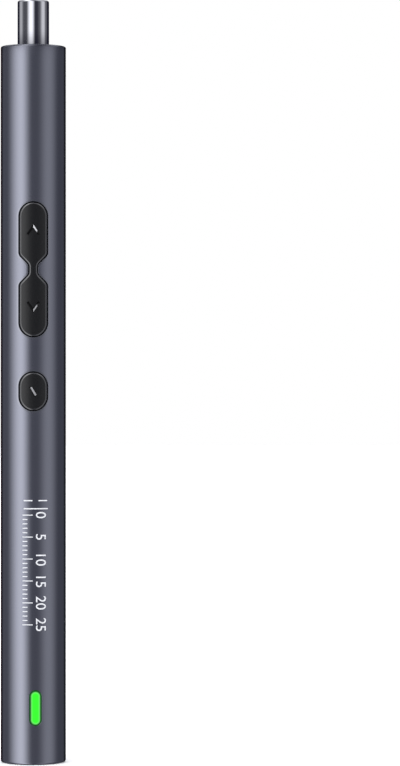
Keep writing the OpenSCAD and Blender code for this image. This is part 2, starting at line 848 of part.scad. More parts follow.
// A thin lead with round joints between its straight runs
module lead(path, r) {
    for (i = [0 : len(path) - 2]) {
        run = path[i + 1] - path[i];
        length = norm(run);
        translate(path[i])
            rotate([0, acos(run[2] / length), atan2(run[1], run[0])])
            cylinder(h = length, r = r, $fn = 24);
        if (i > 0) translate(path[i]) sphere(r = r, $fn = 24);
    }
}

module motor_shaft() {
    color("silver") rod(motor_z0 + 0.8, planet_1_z0 + planet_t + 0.1, shaft_d / 2);
}

tooth_w = 1.5;
shoe_t = 0.8;

module armature() {
    color("darkgray") difference() {
        union() {
            rod(core_z0, core_z1, 1.7);
            around() {
                block([0, -tooth_w / 2, core_z0], [core_r - 0.4, tooth_w / 2, core_z1]);
                intersection() {
                    tube(core_z0, core_z1, core_r, core_r - shoe_t);
                    rotate([0, 0, -50]) block([0, 0, core_z0 - 1], [body_d, body_d, core_z1 + 1]);
                    rotate([0, 0, -40]) block([0, 0, core_z0 - 1], [body_d, body_d, core_z1 + 1]);
                }
            }
        }
        rod(core_z0 - 1, core_z1 + 1, shaft_d / 2);
    }
}

// A coil around each tooth of the armature, inside the tooth's shoe
module windings() {
    bulge = 0.6;
    coil_w = tooth_w + 1.2;
    color("chocolate") around() difference() {
        intersection() {
            block([1.8, -coil_w / 2, core_z0 - bulge], [core_r, coil_w / 2, core_z1 + bulge]);
            rod(core_z0 - bulge, core_z1 + bulge, core_r - shoe_t - 0.03);
        }
        block([0, -tooth_w / 2, core_z0], [core_r, tooth_w / 2, core_z1]);
    }
}

module commutator() {
    color("peru") difference() {
        rod(can_z0 + 1, core_z0 - 0.7, comm_r);
        rod(can_z0, core_z0, shaft_d / 2);
        around(start = 60) block([comm_r - 0.3, -0.1, can_z0], [comm_r + 1, 0.1, core_z0]);
    }
}

module motor_pinion() {
    color("gold") translate([0, 0, planet_1_z0]) difference() {
        gear_blank(SUN_TEETH, planet_t);
        translate([0, 0, -EPS]) cylinder(h = planet_t + 1, r = shaft_d / 2);
    }
}

module gearbox_plate() {
    head_t = 0.6;
    color("silver") difference() {
        union() {
            rod(gearbox_plate_z0, ring_z0, press_r);
            lugs(ring_z0 - EPS, ring_z0 + lug_h, 0);
        }
        rod(gearbox_plate_z0 - 1, ring_z0 + 1, motor_bush_r + 0.05);
        for (side = [-1, 1]) translate([side * motor_screw_r, 0, 0]) {
            rod(gearbox_plate_z0 - 1, ring_z0 + 1, 0.75);
            rod(ring_z0 - head_t, ring_z0 + 1, 1.35);
        }
    }
}

module motor_screws() {
    head_t = 0.55;
    color("dimgray") for (side = [-1, 1]) translate([side * motor_screw_r, 0, 0]) difference() {
        union() {
            rod(ring_z0 - 0.6, ring_z0 - 0.6 + head_t, 1.3);
            rod(motor_z1 - front_wall_t, ring_z0 - 0.6 + EPS, 0.7);
        }
        block([-1.1, -0.15, ring_z0 - 0.3], [1.1, 0.15, ring_z0 + 1]);
        block([-0.15, -1.1, ring_z0 - 0.3], [0.15, 1.1, ring_z0 + 1]);
    }
}

// ---- Gearbox ----

module ring_gear() {
    slack = 0.05;
    color("gainsboro") difference() {
        rod(ring_z0, cap_z0, press_r);
        translate([0, 0, ring_z0 - EPS]) rotate([0, 0, 180 / RING_TEETH])
            linear_extrude(cap_z0 - ring_z0 + 2 * EPS)
            polygon(gear_outline(RING_TEETH, ring_root_r, ring_tip_r, -backlash));
        lugs(ring_z0 - EPS, ring_z0 + lug_h + slack, slack);
        lugs(cap_z0 - lug_h - slack, cap_z0 + EPS, slack);
    }
}

module planet(stage, place) {
    z = [planet_1_z0, planet_2_z0, planet_3_z0][stage - 1];
    thickness = stage == 3 ? output_planet_t : planet_t;
    color("gold") rotate([0, 0, place * 360 / PLANETS]) translate([orbit_r, 0, z]) difference() {
        rotate([0, 0, 180 / planet_teeth]) gear_blank(planet_teeth, thickness);
        translate([0, 0, -EPS]) cylinder(h = thickness + 2 * EPS, r = pin_r + run_gap);
    }
}

// A carrier plate with its holes for the planets' pins
module carrier_plate(z0, z1) {
    difference() {
        rod(z0, z1, carrier_r);
        around() translate([orbit_r, 0, 0]) rod(z0 - 1, z1 + 1, pin_r);
    }
}

module pins(z0, z1) {
    color("silver") around() translate([orbit_r, 0, 0]) rod(z0, z1, pin_r);
}

module carrier_1() {
    color("gold") union() {
        carrier_plate(plate_1_z0, plate_1_z1);
        translate([0, 0, plate_1_z1 - EPS]) gear_blank(SUN_TEETH, planet_t + axial_gap);
    }
}

module carrier_2() {
    color("gold") union() {
        carrier_plate(plate_2_z0, plate_2_z1);
        translate([0, 0, plate_2_z1 - EPS]) gear_blank(SUN_TEETH, output_planet_t + axial_gap);
    }
}

module tang(z0, z1, grow) {
    r = journal_d / 2 - 0.9 + grow;
    intersection() {
        rod(z0, z1, r);
        block([-body_d, -r + 0.4, z0], [body_d, r - 0.4, z1]);
    }
}

module output_carrier() {
    color("silver") difference() {
        carrier_plate(output_plate_z0, output_plate_z1);
        tang(output_plate_z0 - 1, output_plate_z1 + 1, 0);
    }
}

// ---- Spindle ----

module bit_socket() {
    r = nose_d / 2;
    journal_r = journal_d / 2;
    magnet_z0 = nose_z1 - hex_depth - magnet_len;
    color("lightgray") difference() {
        union() {
            rotate_extrude() polygon(concat(
                [[0, output_plate_z1], [journal_r, output_plate_z1], [journal_r, nose_z0], [r - 0.2, nose_z0],
                 [r, nose_z0 + 0.2]],
                arc([r - nose_edge, nose_z1 - nose_edge], nose_edge, 0, 90),
                [[0, nose_z1]]
            ));
            tang(output_plate_z0, output_plate_z1 + EPS, 0);
        }
        translate([0, 0, nose_z1 - hex_depth]) cylinder(h = hex_depth + 1, d = hex_af / cos(30), $fn = 6);
        // Lead-in that guides a bit into the hexagon
        translate([0, 0, nose_z1 - 0.5]) cylinder(h = 0.5 + EPS, r1 = hex_af / 2, r2 = hex_af / 2 + 0.6);
        rod(magnet_z0, nose_z1 - hex_depth + EPS, hex_af / 2 - 0.15);
        tube(clip_z0 - 0.03, clip_z1 + 0.03, journal_r + 1, journal_r - 0.35);
    }
}

module socket_magnet() {
    z1 = nose_z1 - hex_depth;
    color("dimgray") rod(z1 - magnet_len, z1 - 0.1, hex_af / 2 - 0.17);
}

module retaining_clip() {
    r = journal_d / 2;
    color("dimgray") difference() {
        tube(clip_z0, clip_z1, r + 0.8, r - 0.33);
        block([-0.9, 0, clip_z0 - 1], [0.9, body_d, clip_z1 + 1]);
    }
}

// ---- Assembly ----

body_tube();
front_cap();
tail_cap();
spindle_bush();
thrust_washer();
twin_key(1);  // forward_key
twin_key(-1);  // reverse_key
key_bridge();
mode_key();
light_guide();
usb_shell();
usb_tongue();
usb_contacts();
charge_board();
charge_parts();
status_led();
chassis();
battery_cover();
battery_cell();
battery_tabs();
link_ribbon();
control_board();
control_parts();
switch_bodies();
board_screws();
stem(twin_z + switch_from_waist);  // forward_stem
stem(twin_z - switch_from_waist);  // reverse_stem
stem(mode_z);  // mode_stem
motor_can();
motor_end_cap();
motor_magnets();
motor_brushes();
motor_bushes();
motor_leads();
gearbox_plate();
motor_screws();
ring_gear();
bit_socket();
socket_magnet();
retaining_clip();
output_carrier();
pins(planet_3_z0, output_plate_z1);  // output_pins
carrier_2();
pins(planet_2_z0, plate_2_z1);  // carrier_2_pins
carrier_1();
pins(planet_1_z0, plate_1_z1);  // carrier_1_pins
motor_shaft();
armature();
windings();
commutator();
motor_pinion();
planet(1, 0);  // planet_1a
planet(1, 1);  // planet_1b
planet(1, 2);  // planet_1c
planet(2, 0);  // planet_2a
planet(2, 1);  // planet_2b
planet(2, 2);  // planet_2c
planet(3, 0);  // planet_3a
planet(3, 1);  // planet_3b
planet(3, 2);  // planet_3c
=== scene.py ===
# %% [markdown]
# # A pen-shaped electric precision screwdriver
# The packed model holds every part at its true size and place. This lesson dresses it: it rebuilds the
# outside skin with the soft edges that real parts have, and gives every piece a finish made of nodes.

# %% Load the fixed frame
import math

import bmesh
import bpy
import numpy as np
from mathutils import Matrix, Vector
from mathutils.geometry import delaunay_2d_cdt


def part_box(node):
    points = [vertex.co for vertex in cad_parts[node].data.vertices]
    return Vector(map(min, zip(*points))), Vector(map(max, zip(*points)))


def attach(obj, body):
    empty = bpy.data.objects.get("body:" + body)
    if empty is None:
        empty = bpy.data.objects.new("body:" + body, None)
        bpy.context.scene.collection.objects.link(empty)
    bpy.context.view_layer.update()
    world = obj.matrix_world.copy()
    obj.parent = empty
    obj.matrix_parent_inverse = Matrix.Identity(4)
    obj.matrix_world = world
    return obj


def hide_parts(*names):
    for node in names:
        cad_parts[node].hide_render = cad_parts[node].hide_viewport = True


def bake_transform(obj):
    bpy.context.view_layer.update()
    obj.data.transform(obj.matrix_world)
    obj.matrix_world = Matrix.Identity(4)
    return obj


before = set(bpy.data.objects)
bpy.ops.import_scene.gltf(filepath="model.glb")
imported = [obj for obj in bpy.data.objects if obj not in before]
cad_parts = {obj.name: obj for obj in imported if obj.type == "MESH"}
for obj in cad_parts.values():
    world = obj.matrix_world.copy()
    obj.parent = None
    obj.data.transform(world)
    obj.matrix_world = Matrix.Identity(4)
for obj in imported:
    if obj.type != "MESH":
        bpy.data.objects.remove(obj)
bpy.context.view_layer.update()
MM = 0.001

# %% [markdown]
# The sizes below come from the model's own boxes, so the skin follows the model if it is packed again.
# Lengths are in millimetres while shapes are worked out, and become metres when a mesh is made.

# %% Sizes read from the model
PRESS_GAP = 0.03  # between the front cap and the bore that holds it
KEY_GAP = 0.18  # between a key and its opening
FLANGE = 0.5  # how far a key's hidden flange reaches past the key


def box_mm(node):
    low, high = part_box(node)
    return np.array(low) / MM, np.array(high) / MM


BODY_R, _, BODY_TOP = box_mm("body_tube")[1]
BORE_R = round(float(box_mm("front_cap")[1][0] + PRESS_GAP), 3)
nose_low, nose_high = box_mm("bit_socket")
NOSE_R, _, NOSE_TOP = nose_high
up_low, up_high = box_mm("forward_key")
down_low, _ = box_mm("reverse_key")
mode_low, mode_high = box_mm("mode_key")
guide_low, guide_high = box_mm("light_guide")
CROWN_R = -up_low[1]
TWIN_Z = (up_high[2] + down_low[2]) / 2
MODE_Z = (mode_low[2] + mode_high[2]) / 2
# The keys' boxes end at their flanges, and an opening is wider than its key by the gap
RIM_IN = FLANGE - KEY_GAP
LOBE_W = (up_high[0] - RIM_IN) * 2
TWIN_LEN = up_high[2] - down_low[2] - 2 * RIM_IN
MODE_LEN = mode_high[2] - mode_low[2] - 2 * RIM_IN
print("body radius %.2f, bore %.2f, crown %.2f, lobe %.2f, twin %.2f at %.2f, mode %.2f at %.2f" % (
    BODY_R, BORE_R, CROWN_R, LOBE_W, TWIN_LEN, TWIN_Z, MODE_LEN, MODE_Z))

# %% [markdown]
# ## Camera, floor and light
# The tool stands far to one side of the frame, so the camera is turned a little and not shifted. A long
# lens from the middle of the tool's height keeps both ends almost square on.

# %% Camera
CAMERA_PLACE = (0, -0.784, 0.0871)
CAMERA_TURN = -2.803  # degrees, to the right of the tool

camera_data = bpy.data.cameras.new("camera")
camera_data.lens = 160
camera_data.sensor_width = 36
camera = bpy.data.objects.new("camera", camera_data)
bpy.context.collection.objects.link(camera)
camera.location = CAMERA_PLACE
camera.rotation_euler = (math.radians(90), 0, math.radians(CAMERA_TURN))
bpy.context.scene.camera = camera
bpy.context.scene.view_settings.view_transform = "Standard"
print("camera at", tuple(round(v, 4) for v in camera.location))

# %% [markdown]
# ### Shader maths as expressions
# A Wire wraps one output socket. Python's + - * / on it add Math nodes, so a mask reads like a formula.
# Painter adds every other node: its type, the settings that are made first, then the values or links of its
# sockets. A socket is named, as in Base_Color=, or counted, as in i0= for the first.

# %% Wires and painters
class Wire:
    def __init__(self, tree, socket):
        self.tree = tree
        self.socket = socket

    def _math(self, operation, *values):
        return Painter(self.tree).maths(operation, *values)

    def __add__(self, other):
        return self._math("ADD", self, other)

    def __radd__(self, other):
        return self._math("ADD", other, self)

    def __sub__(self, other):
        return self._math("SUBTRACT", self, other)

    def __rsub__(self, other):
        return self._math("SUBTRACT", other, self)

    def __mul__(self, other):
        return self._math("MULTIPLY", self, other)

    def __rmul__(self, other):
        return self._math("MULTIPLY", other, self)

    def __truediv__(self, other):
        return self._math("DIVIDE", self, other)

    def __abs__(self):
        return self._math("ABSOLUTE", self)

    def between(self, dark_1, full_1, full_2=1000, dark_2=1001):
        """1 between the full values, fading to 0 at the dark ones. Without the second pair it stays 1."""
        paint = Painter(self.tree)
        smooth = {"interpolation_type": "SMOOTHSTEP"}
        rise = paint.out("ShaderNodeMapRange", smooth, i0=self, i1=dark_1, i2=full_1)
        fall = paint.out("ShaderNodeMapRange", smooth, i0=self, i1=dark_2, i2=full_2)
        return rise * fall


class Painter:
    def __init__(self, tree):
        self.tree = tree

    def node(self, kind, settings=None, **values):
        node = self.tree.nodes.new(kind)
        for key, value in (settings or {}).items():
            if key == "stops":
                ramp = node.color_ramp
                while len(ramp.elements) < len(value):
                    ramp.elements.new(1.0)
                for element, (place, colour) in zip(ramp.elements, value):
                    element.position = place
                    element.color = (*colour, 1)
            else:
                setattr(node, key, value)
        self.plug(node, **values)
        return node

    def plug(self, node, **values):
        """Sets sockets of a node to plain values, or links wires to them."""
        for key, value in values.items():
            counted = key[0] == "i" and key[1:].isdigit()
            slot = node.inputs[int(key[1:])] if counted else node.inputs[key.replace("_", " ")]
            if isinstance(value, Wire):
                self.tree.links.new(value.socket, slot)
            else:
                slot.default_value = value

    def out(self, kind, settings=None, output=0, **values):
        return Wire(self.tree, self.node(kind, settings, **values).outputs[output])

    def maths(self, operation, *values):
        sockets = {"i%d" % n: value for n, value in enumerate(values)}
        return self.out("ShaderNodeMath", {"operation": operation}, **sockets)

    def split(self, vector):
        """The x, y and z of a vector."""
        node = self.node("ShaderNodeSeparateXYZ", i0=vector)
        return [Wire(self.tree, node.outputs[i]) for i in range(3)]

    def place(self):
        """Where a point lies in its object, in metres."""
        return self.out("ShaderNodeTexCoord", output="Object")

    def bearing(self, x, y):
        """Degrees round the tool's axis: 0 towards the camera, minus to the left."""
        return self.maths("ARCTAN2", x, 0 - y) * (180 / math.pi)


def new_material(name):
    """A material with nodes, its painter and its main shader."""
    material = bpy.data.materials.new(name)
    material.use_nodes = True
    return material, Painter(material.node_tree), material.node_tree.nodes["Principled BSDF"]


def new_object(name, mesh):
    thing = bpy.data.objects.new(name, mesh)
    bpy.context.collection.objects.link(thing)
    return thing


print("shader helpers ready")

# %% [markdown]
# ### A studio made of light bands
# A turned metal body shows what stands round it: a tall softbox on the left gives the bright stripe, a
# weaker one on the right the second stripe, and dark boards behind give crisp dark edges. Bands of light in
# the world's sky do the same as real softboxes, without any object that could be seen. The camera itself
# sees plain white.

# %% World
# Strength, then the bearings where each softbox fades in and out, from the left (-) to the right (+)
SOFTBOXES = [(1.62, -106, -42, -45, -5), (0.43, 12, 52, 58, 98)]

world = bpy.data.worlds.new("studio")
bpy.context.scene.world = world
world.use_nodes = True
world.node_tree.nodes.clear()
sky = Painter(world.node_tree)
east, north, up = sky.split(sky.out("ShaderNodeTexCoord", output="Generated"))
bearing = sky.bearing(east, north)
height = sky.maths("ARCSINE", up) * (180 / math.pi)
room = 0.20 - 0.05 * bearing.between(70, 115)
for strength, *edges in SOFTBOXES:
    room = room + strength * bearing.between(*edges)
side_on = height.between(-34, -22, 22, 34)
boards = 1 - 0.97 * (1 - bearing.between(-141, -136, 136, 141)) * side_on
# A third softbox stands right behind, between the two boards, for views from the back
light = room * boards + 1.2 * abs(bearing).between(161, 178) * side_on
# Soft light from above, most of it from the left, for flat faces; dark straight overhead and straight below
light = light + (0.45 + 0.5 * bearing.between(-98, -60, -45, 0)) * height.between(24, 34, 52, 62)
light = light * (1 - 0.9 * height.between(60, 66)) * height.between(-84, -66)
tint = sky.out("ShaderNodeCombineColor", i0=light * 0.98, i1=light * 0.985 + 0.004 * boards,
               i2=light * 0.99 + 0.032 * boards)
seen = sky.out("ShaderNodeLightPath", output="Is Camera Ray")
lit = sky.out("ShaderNodeBackground", Color=tint, Strength=1.0)
plain = sky.out("ShaderNodeBackground", Color=(1, 1, 1, 1), Strength=1.0)
sky.node("ShaderNodeOutputWorld", i0=sky.out("ShaderNodeMixShader", i0=seen, i1=lit, i2=plain))
print("softboxes:", len(SOFTBOXES))

# %% [markdown]
# The floor is a plain pale disc. It doesn't show in mirror-like reflections, so the lower half of the body
# keeps the same stripes as the upper half. One large softbox overhead lights it evenly.

# %% Floor and overhead softbox
FLOOR_R, FLOOR_SIDES = 4, 96

floor_mesh = bpy.data.meshes.new("floor")
floor_turns = np.linspace(0, 2 * math.pi, FLOOR_SIDES, endpoint=False)
floor_mesh.from_pydata([(FLOOR_R * math.cos(a), FLOOR_R * math.sin(a), 0) for a in floor_turns], [],
                       [list(range(FLOOR_SIDES))])
floor = new_object("floor", floor_mesh)
floor_paint, paint, shader = new_material("pale_floor")
paint.plug(shader, Base_Color=(0.93, 0.93, 0.935, 1), Roughness=0.9)
floor_mesh.materials.append(floor_paint)
floor.visible_glossy = False
soft_data = bpy.data.lights.new("overhead", "AREA")
soft_data.shape = "DISK"
soft_data.size = 6
soft_data.energy = 260
overhead = bpy.data.objects.new("overhead", soft_data)
overhead.location = (0, 0.6, 4)
overhead.visible_glossy = False
bpy.context.collection.objects.link(overhead)
print("floor radius:", FLOOR_R, "m")

# %% [markdown]
# The polished nose is far shinier than the body and needs its own surroundings: a small paper tent, like the
# ones that studios put round shiny parts. It is an open cylinder of light and dark strips round the nose, seen
# by reflections only. Its foot starts just above the body's rim, so the body keeps its own stripes.

# %% A tent round the nose
TENT_R, TENT_FOOT, TENT_TOP, TENT_SIDES = 0.02, 0.16565, 0.1785, 144
# Strength, then the bearings where each strip of paper fades in and out
STRIPS = [(0.50, -119, -101, -93, -66), (1.60, -47, -18, -11, 13), (0.68, 43, 67, 75, 96),
          (0.07, -113, -85, -38, 9), (0.13, 24, 47, 103, 116)]

tent_mesh = bpy.data.meshes.new("nose_tent")
tent_turns = np.linspace(0, 2 * math.pi, TENT_SIDES, endpoint=False)
corners = [(TENT_R * math.sin(a), -TENT_R * math.cos(a), z)
           for z in (TENT_FOOT, TENT_TOP) for a in tent_turns]
tent_mesh.from_pydata(corners, [], [
    (i, (i + 1) % TENT_SIDES, TENT_SIDES + (i + 1) % TENT_SIDES, TENT_SIDES + i) for i in range(TENT_SIDES)])
tent = new_object("nose_tent", tent_mesh)
tent_paper = bpy.data.materials.new("tent_paper")
tent_paper.use_nodes = True
tent_paper.node_tree.nodes.clear()
paint = Painter(tent_paper.node_tree)
x, y, z = paint.split(paint.place())
tent_bearing, level = paint.bearing(x, y), z * 1000
glow = 0.045
for strength, *edges in STRIPS:
    glow = glow + strength * tent_bearing.between(*edges)
glow = glow * tent_bearing.between(-134, -123, 112, 124)
# The back of the tent is lit for views from behind, and its foot stands in the body's shade
behind = abs(tent_bearing)
glow = glow + 0.22 * behind.between(146, 158) + 0.7 * behind.between(160, 170)
glow = glow * level.between(165.6, 166.7) * (0.5 + 0.5 * level.between(166, 170.2))
paper_light = paint.out("ShaderNodeCombineColor", i0=glow * 0.96, i1=glow * 0.965, i2=glow + 0.014)
paper = paint.out("ShaderNodeEmission", Color=paper_light, Strength=1.0)
paint.node("ShaderNodeOutputMaterial", i0=paper)
tent_mesh.materials.append(tent_paper)
for unseen in ("camera", "diffuse", "shadow", "transmission", "volume_scatter"):
    setattr(tent, "visible_" + unseen, False)
print("strips in the tent:", len(STRIPS))

# %% [markdown]
# ## Rounded openings in a thin tube
# The real body is a drawn aluminium tube with milled openings whose rims are softly broken. A boolean on a
# tube gives hard edges and bent reflections. Here the wall is unrolled to a flat sheet, filled with
# triangles round the outlines, and rolled up again. Each face gets its exact normal, so the long
# reflections stay straight. First come the outlines, as arcs and straight sides.

# %% Outlines
WAIST_W, WAIST_HALF, LOBE_BEND, WAIST_BEND = 2.3, 0.5, 1.6, 1.3


def arc(centre, radius, start, end, steps=14):
    angles = np.radians(np.linspace(start, end, steps + 1))
    return [(centre[0] + radius * math.cos(a), centre[1] + radius * math.sin(a)) for a in angles]


def grown(points, distance):
    """A closed counter-clockwise outline moved outwards by a distance."""
    flat = np.array(points)
    before, after = np.roll(flat, 1, 0), np.roll(flat, -1, 0)
    one, two = unit(flat - before), unit(after - flat)
    out_one = np.stack([one[:, 1], -one[:, 0]], 1)
    out_two = np.stack([two[:, 1], -two[:, 0]], 1)
    middle = (out_one + out_two) / (1 + (out_one * out_two).sum(1))[:, None]
    return flat + middle * distance


def unit(rows):
    """Vectors made one long."""
    return rows / np.linalg.norm(rows, axis=1)[:, None]


def outline_normals(points):
    return grown(points, 1.0) - np.array(points)


def sideways(outline):
    """Normals of an outline seen from the front, as unit vectors in space."""
    normal = outline_normals(outline)
    return unit(np.stack([normal[:, 0], np.zeros(len(normal)), normal[:, 1]], 1))


def pill(width, length, grow=0.0, steps=14):
    """A slot with round ends, counter-clockwise."""
    r, rise = width / 2, (length - width) / 2
    sides = [(r, -rise + 2 * rise * i / 6) for i in range(1, 6)]
    half = arc((0, -rise), r, -90, 0, steps) + sides + arc((0, rise), r, 0, 90, steps)
    return grown(half + [(-x, z) for x, z in reversed(half[1:-1])], grow)


def hourglass():
    """The outline of the two-ended key, counter-clockwise, with a point at the middle of each side."""
    half = LOBE_W / 2
    lobe_z = WAIST_HALF + half - WAIST_W / 2 + (LOBE_BEND + WAIST_BEND) * (2 * math.cos(math.pi / 4) - 1)
    quarter = [(WAIST_W / 2, 0.0), (WAIST_W / 2, WAIST_HALF / 2)]
    quarter += arc((WAIST_W / 2 + WAIST_BEND, WAIST_HALF), WAIST_BEND, 180, 135, 8)
    quarter += arc((half - LOBE_BEND, lobe_z), LOBE_BEND, -45, 0, 8)
    top = TWIN_LEN / 2 - half
    quarter += [(half, lobe_z + (top - lobe_z) * i / 5) for i in range(1, 5)]
    quarter += arc((0, top), half, 0, 90, 26)
    right = [(x, -z) for x, z in reversed(quarter[1:])] + quarter
    return np.array(right + [(-x, z) for x, z in reversed(right[1:-1])])


print("hourglass points:", len(hourglass()))

# %% [markdown]
# A Skin gathers points, faces and the exact normal of every corner, and makes a mesh of them at the end.
# Rows of points are joined by strips, and a flat field between outlines is filled by a Delaunay
# triangulation that keeps every side of the outlines.

# %% A mesh with exact normals
class Skin:
    """Collects faces whose corners carry their own normals, then makes one mesh of them."""

    def __init__(self):
        self.places, self.faces, self.normals, self.paints = [], [], [], []

    def points(self, places):
        first = len(self.places)
        self.places += [tuple(map(float, p)) for p in places]
        return list(range(first, len(self.places)))

    def face(self, corners, normals, paint=0):
        self.faces.append(list(corners))
        self.normals.append([tuple(map(float, n)) for n in normals])
        self.paints.append(paint)

    def strip(self, low, high, low_n, high_n, flip=False, paint=0):
        """Quads between two closed rows of points that run the same way."""
        for i in range(len(low)):
            j = (i + 1) % len(low)
            corners = [low[i], low[j], high[j], high[i]]
            normals = [low_n[i], low_n[j], high_n[j], high_n[i]]
            if flip:
                corners.reverse()
                normals.reverse()
            self.face(corners, normals, paint)

    def half(self, z, side):
        """The faces above z for side 1 or below it for side -1, closed at the cut with a flat cap."""
        part = Skin()
        part.places = self.places
        for corners, normals, paint in zip(self.faces, self.normals, self.paints):
            if side * (sum(self.places[v][2] for v in corners) / len(corners) - z) > 0:
                part.face(corners, normals, paint)
        open_edges = set()
        for corners in part.faces:
            for a, b in zip(corners, corners[1:] + corners[:1]):
                if (b, a) in open_edges:
                    open_edges.remove((b, a))
                else:
                    open_edges.add((a, b))
        after = dict(open_edges)
        loop = [min(after)]
        while after[loop[-1]] != loop[0]:
            loop.append(after[loop[-1]])
        part.face(loop[::-1], [(0, 0, -side)] * len(loop))
        return part

    def mesh(self, name):
        mesh = bpy.data.meshes.new(name)
        used = sorted({v for corners in self.faces for v in corners})
        place = {v: n for n, v in enumerate(used)}
        mesh.from_pydata([np.array(self.places[v]) * MM for v in used], [],
                         [[place[v] for v in corners] for corners in self.faces])
        mesh.polygons.foreach_set("use_smooth", [True] * len(mesh.polygons))
        mesh.polygons.foreach_set("material_index", self.paints)
        mesh.normals_split_custom_set([n for normals in self.normals for n in normals])
        if mesh.validate():
            raise ValueError(name + " has faulty faces")
        return mesh


print("a skin holds", ", ".join(vars(Skin())))

# %% [markdown]
# The triangulation works on flat points and gives triangles of their numbers. Where points lie in a line it
# can leave slivers along an outline, which are rounding errors and are thrown away.

# %% Flat fields between outlines
SLIVER = 2e-5  # the largest cross product of a triangle that is a rounding error
SAME = 1e-6  # lengths and turns closer than this are the same
MERGED = 1e-7  # flat points closer than this are one point


def filled(loops, extra, inside, cut=()):
    """Triangles between closed loops of flat points, with extra points in the field between them. No triangle
    crosses the cut, which goes from one point of a loop to another."""
    points, edges = [], []
    middle = np.mean(loops[0], 0)
    for loop in loops:
        first = len(points)
        points += [Vector(p - middle) for p in loop]
        edges += [(first + i, first + (i + 1) % len(loop)) for i in range(len(loop))]
    points += [Vector(np.array(p) - middle) for p in extra]
    if len(cut):
        edges.append((len(points), len(points) + 1))
        points += [Vector(np.array(p) - middle) for p in cut]
    flat, _, triangles, origin, _, _ = delaunay_2d_cdt(points, edges, [], 0, MERGED)
    back = [min(o) if o else -1 for o in origin]
    kept = []
    for t in triangles:
        a, b, c = (flat[i] for i in t)
        if abs((b - a).cross(c - a)) > SLIVER and inside(middle + (a + b + c) / 3):
            if min(back[i] for i in t) < 0:
                raise ValueError("an outline crosses another")
            kept.append([back[i] for i in t])
    return kept


def lay(skin, loops, order, inside, normal_at, extra=(), cut=(), flip=False, paint=lambda middle: 0):
    """Adds the triangles of a flat field to a skin. The order holds the skin's point for each flat one."""
    flat = [tuple(p) for loop in loops for p in loop] + list(extra)
    for t in filled(loops, extra, inside, cut):
        middle = np.mean([flat[i] for i in t], 0)
        corners, normals = [order[i] for i in t], [normal_at(flat[i], middle) for i in t]
        if flip:
            corners.reverse()
            normals.reverse()
        skin.face(corners, normals, paint(middle))


def within(point, loop):
    """True if a flat point is inside a closed loop."""
    x, z = point
    loop = np.asarray(loop)
    x0, z0 = loop[:, 0], loop[:, 1]
    x1, z1 = np.roll(x0, -1), np.roll(z0, -1)
    crossing = (z0 > z) != (z1 > z)
    side = (x1 - x0) * (z - z0) / np.where(z1 == z0, 1e-12, z1 - z0) + x0
    return bool(np.count_nonzero(crossing & (x < side)) % 2)


def rolled(turn, z, r):
    """A point on a cylinder, with the turn from the front and to the right in radians."""
    return np.array([r * math.sin(turn), -r * math.cos(turn), z])


def spread(turn):
    """The outward normal of a cylinder."""
    return np.array([math.sin(turn), -math.cos(turn), 0.0])


def on_round(flat, r):
    """Points of an outline seen from the front, put on a cylinder of radius r."""
    flat = np.asarray(flat)
    return np.stack([flat[:, 0], -np.sqrt(r * r - flat[:, 0] ** 2), flat[:, 1]], 1)


def unrolled(flat, r):
    """The same points on the sheet that the cylinder unrolls to."""
    flat = np.asarray(flat)
    return np.stack([r * np.arcsin(flat[:, 0] / r), flat[:, 1]], 1)


def edge_steps(edge, steps=6, band=0.0, lean=5):
    """(distance from the rim, drop below the surface, turn) from the flat surface to the rim of a round edge.
    A band outside the edge leans a few degrees towards it."""
    angles = np.linspace(math.pi / 2 - (math.radians(lean) if band else 0), 0, steps + 1)
    round_part = [(edge * (1 - math.cos(a)), edge * (1 - math.sin(a)), a) for a in angles]
    if band:
        round_part = [(edge + band, 0.0, math.pi / 2), (edge + band - 0.01, 0.0005, angles[0])] + round_part
    return round_part


print("rings of a round edge:", len(edge_steps(1.0)))

# %% [markdown]
# The tube itself. Rows of points run round it every two degrees and about every two millimetres along it,
# and stay clear of the openings. Narrow rings of faces turn each rim.

# %% Body tube
COLUMNS = 180
TAIL_EDGE, FRONT_EDGE, RIM_EDGE, RIM_BAND, WINDOW_EDGE = 0.6, 0.35, 0.06, 0.34, 0.08
BRIGHT_TURN = 1.1  # the front edge wears the paler rim metal up to this turn, in radians: a bright-cut edge with a painted highlight
GUIDE_GAP, GUIDE_FLANGE = 0.2, 0.45
GUIDE_W = (guide_high[0] - guide_low[0]) - 2 * GUIDE_FLANGE
GUIDE_LEN = (guide_high[2] - guide_low[2]) - 2 * GUIDE_FLANGE
guide_x = (guide_low[0] + guide_high[0]) / 2
guide_z = (guide_low[2] + guide_high[2]) / 2
openings = [
    (hourglass() + (0, TWIN_Z), RIM_EDGE),
    (pill(LOBE_W, MODE_LEN) + (0, MODE_Z), RIM_EDGE),
    (pill(GUIDE_W, GUIDE_LEN, GUIDE_GAP) + (guide_x, guide_z), WINDOW_EDGE),
]


def field_points(r, z0, z1, loops, margin=0.35, step=2.0):
    """Grid points of an unrolled tube that keep clear of the loops."""
    turns = np.linspace(-math.pi, math.pi, COLUMNS + 1)
    rows = np.linspace(z0, z1, max(2, int((z1 - z0) / step)) + 1)
    found = []
    for z in rows[1:-1]:
        for t in turns[1:-1]:
            p = np.array([t * r, z])
            near = any(
                l[:, 0].min() - margin < p[0] < l[:, 0].max() + margin
                and l[:, 1].min() - margin < p[1] < l[:, 1].max() + margin
                and (within(p, l) or np.linalg.norm(l - p, axis=1).min() < margin)
                for l in loops
            )
            if not near:
                found.append((t * r, z))
    return turns, rows, found


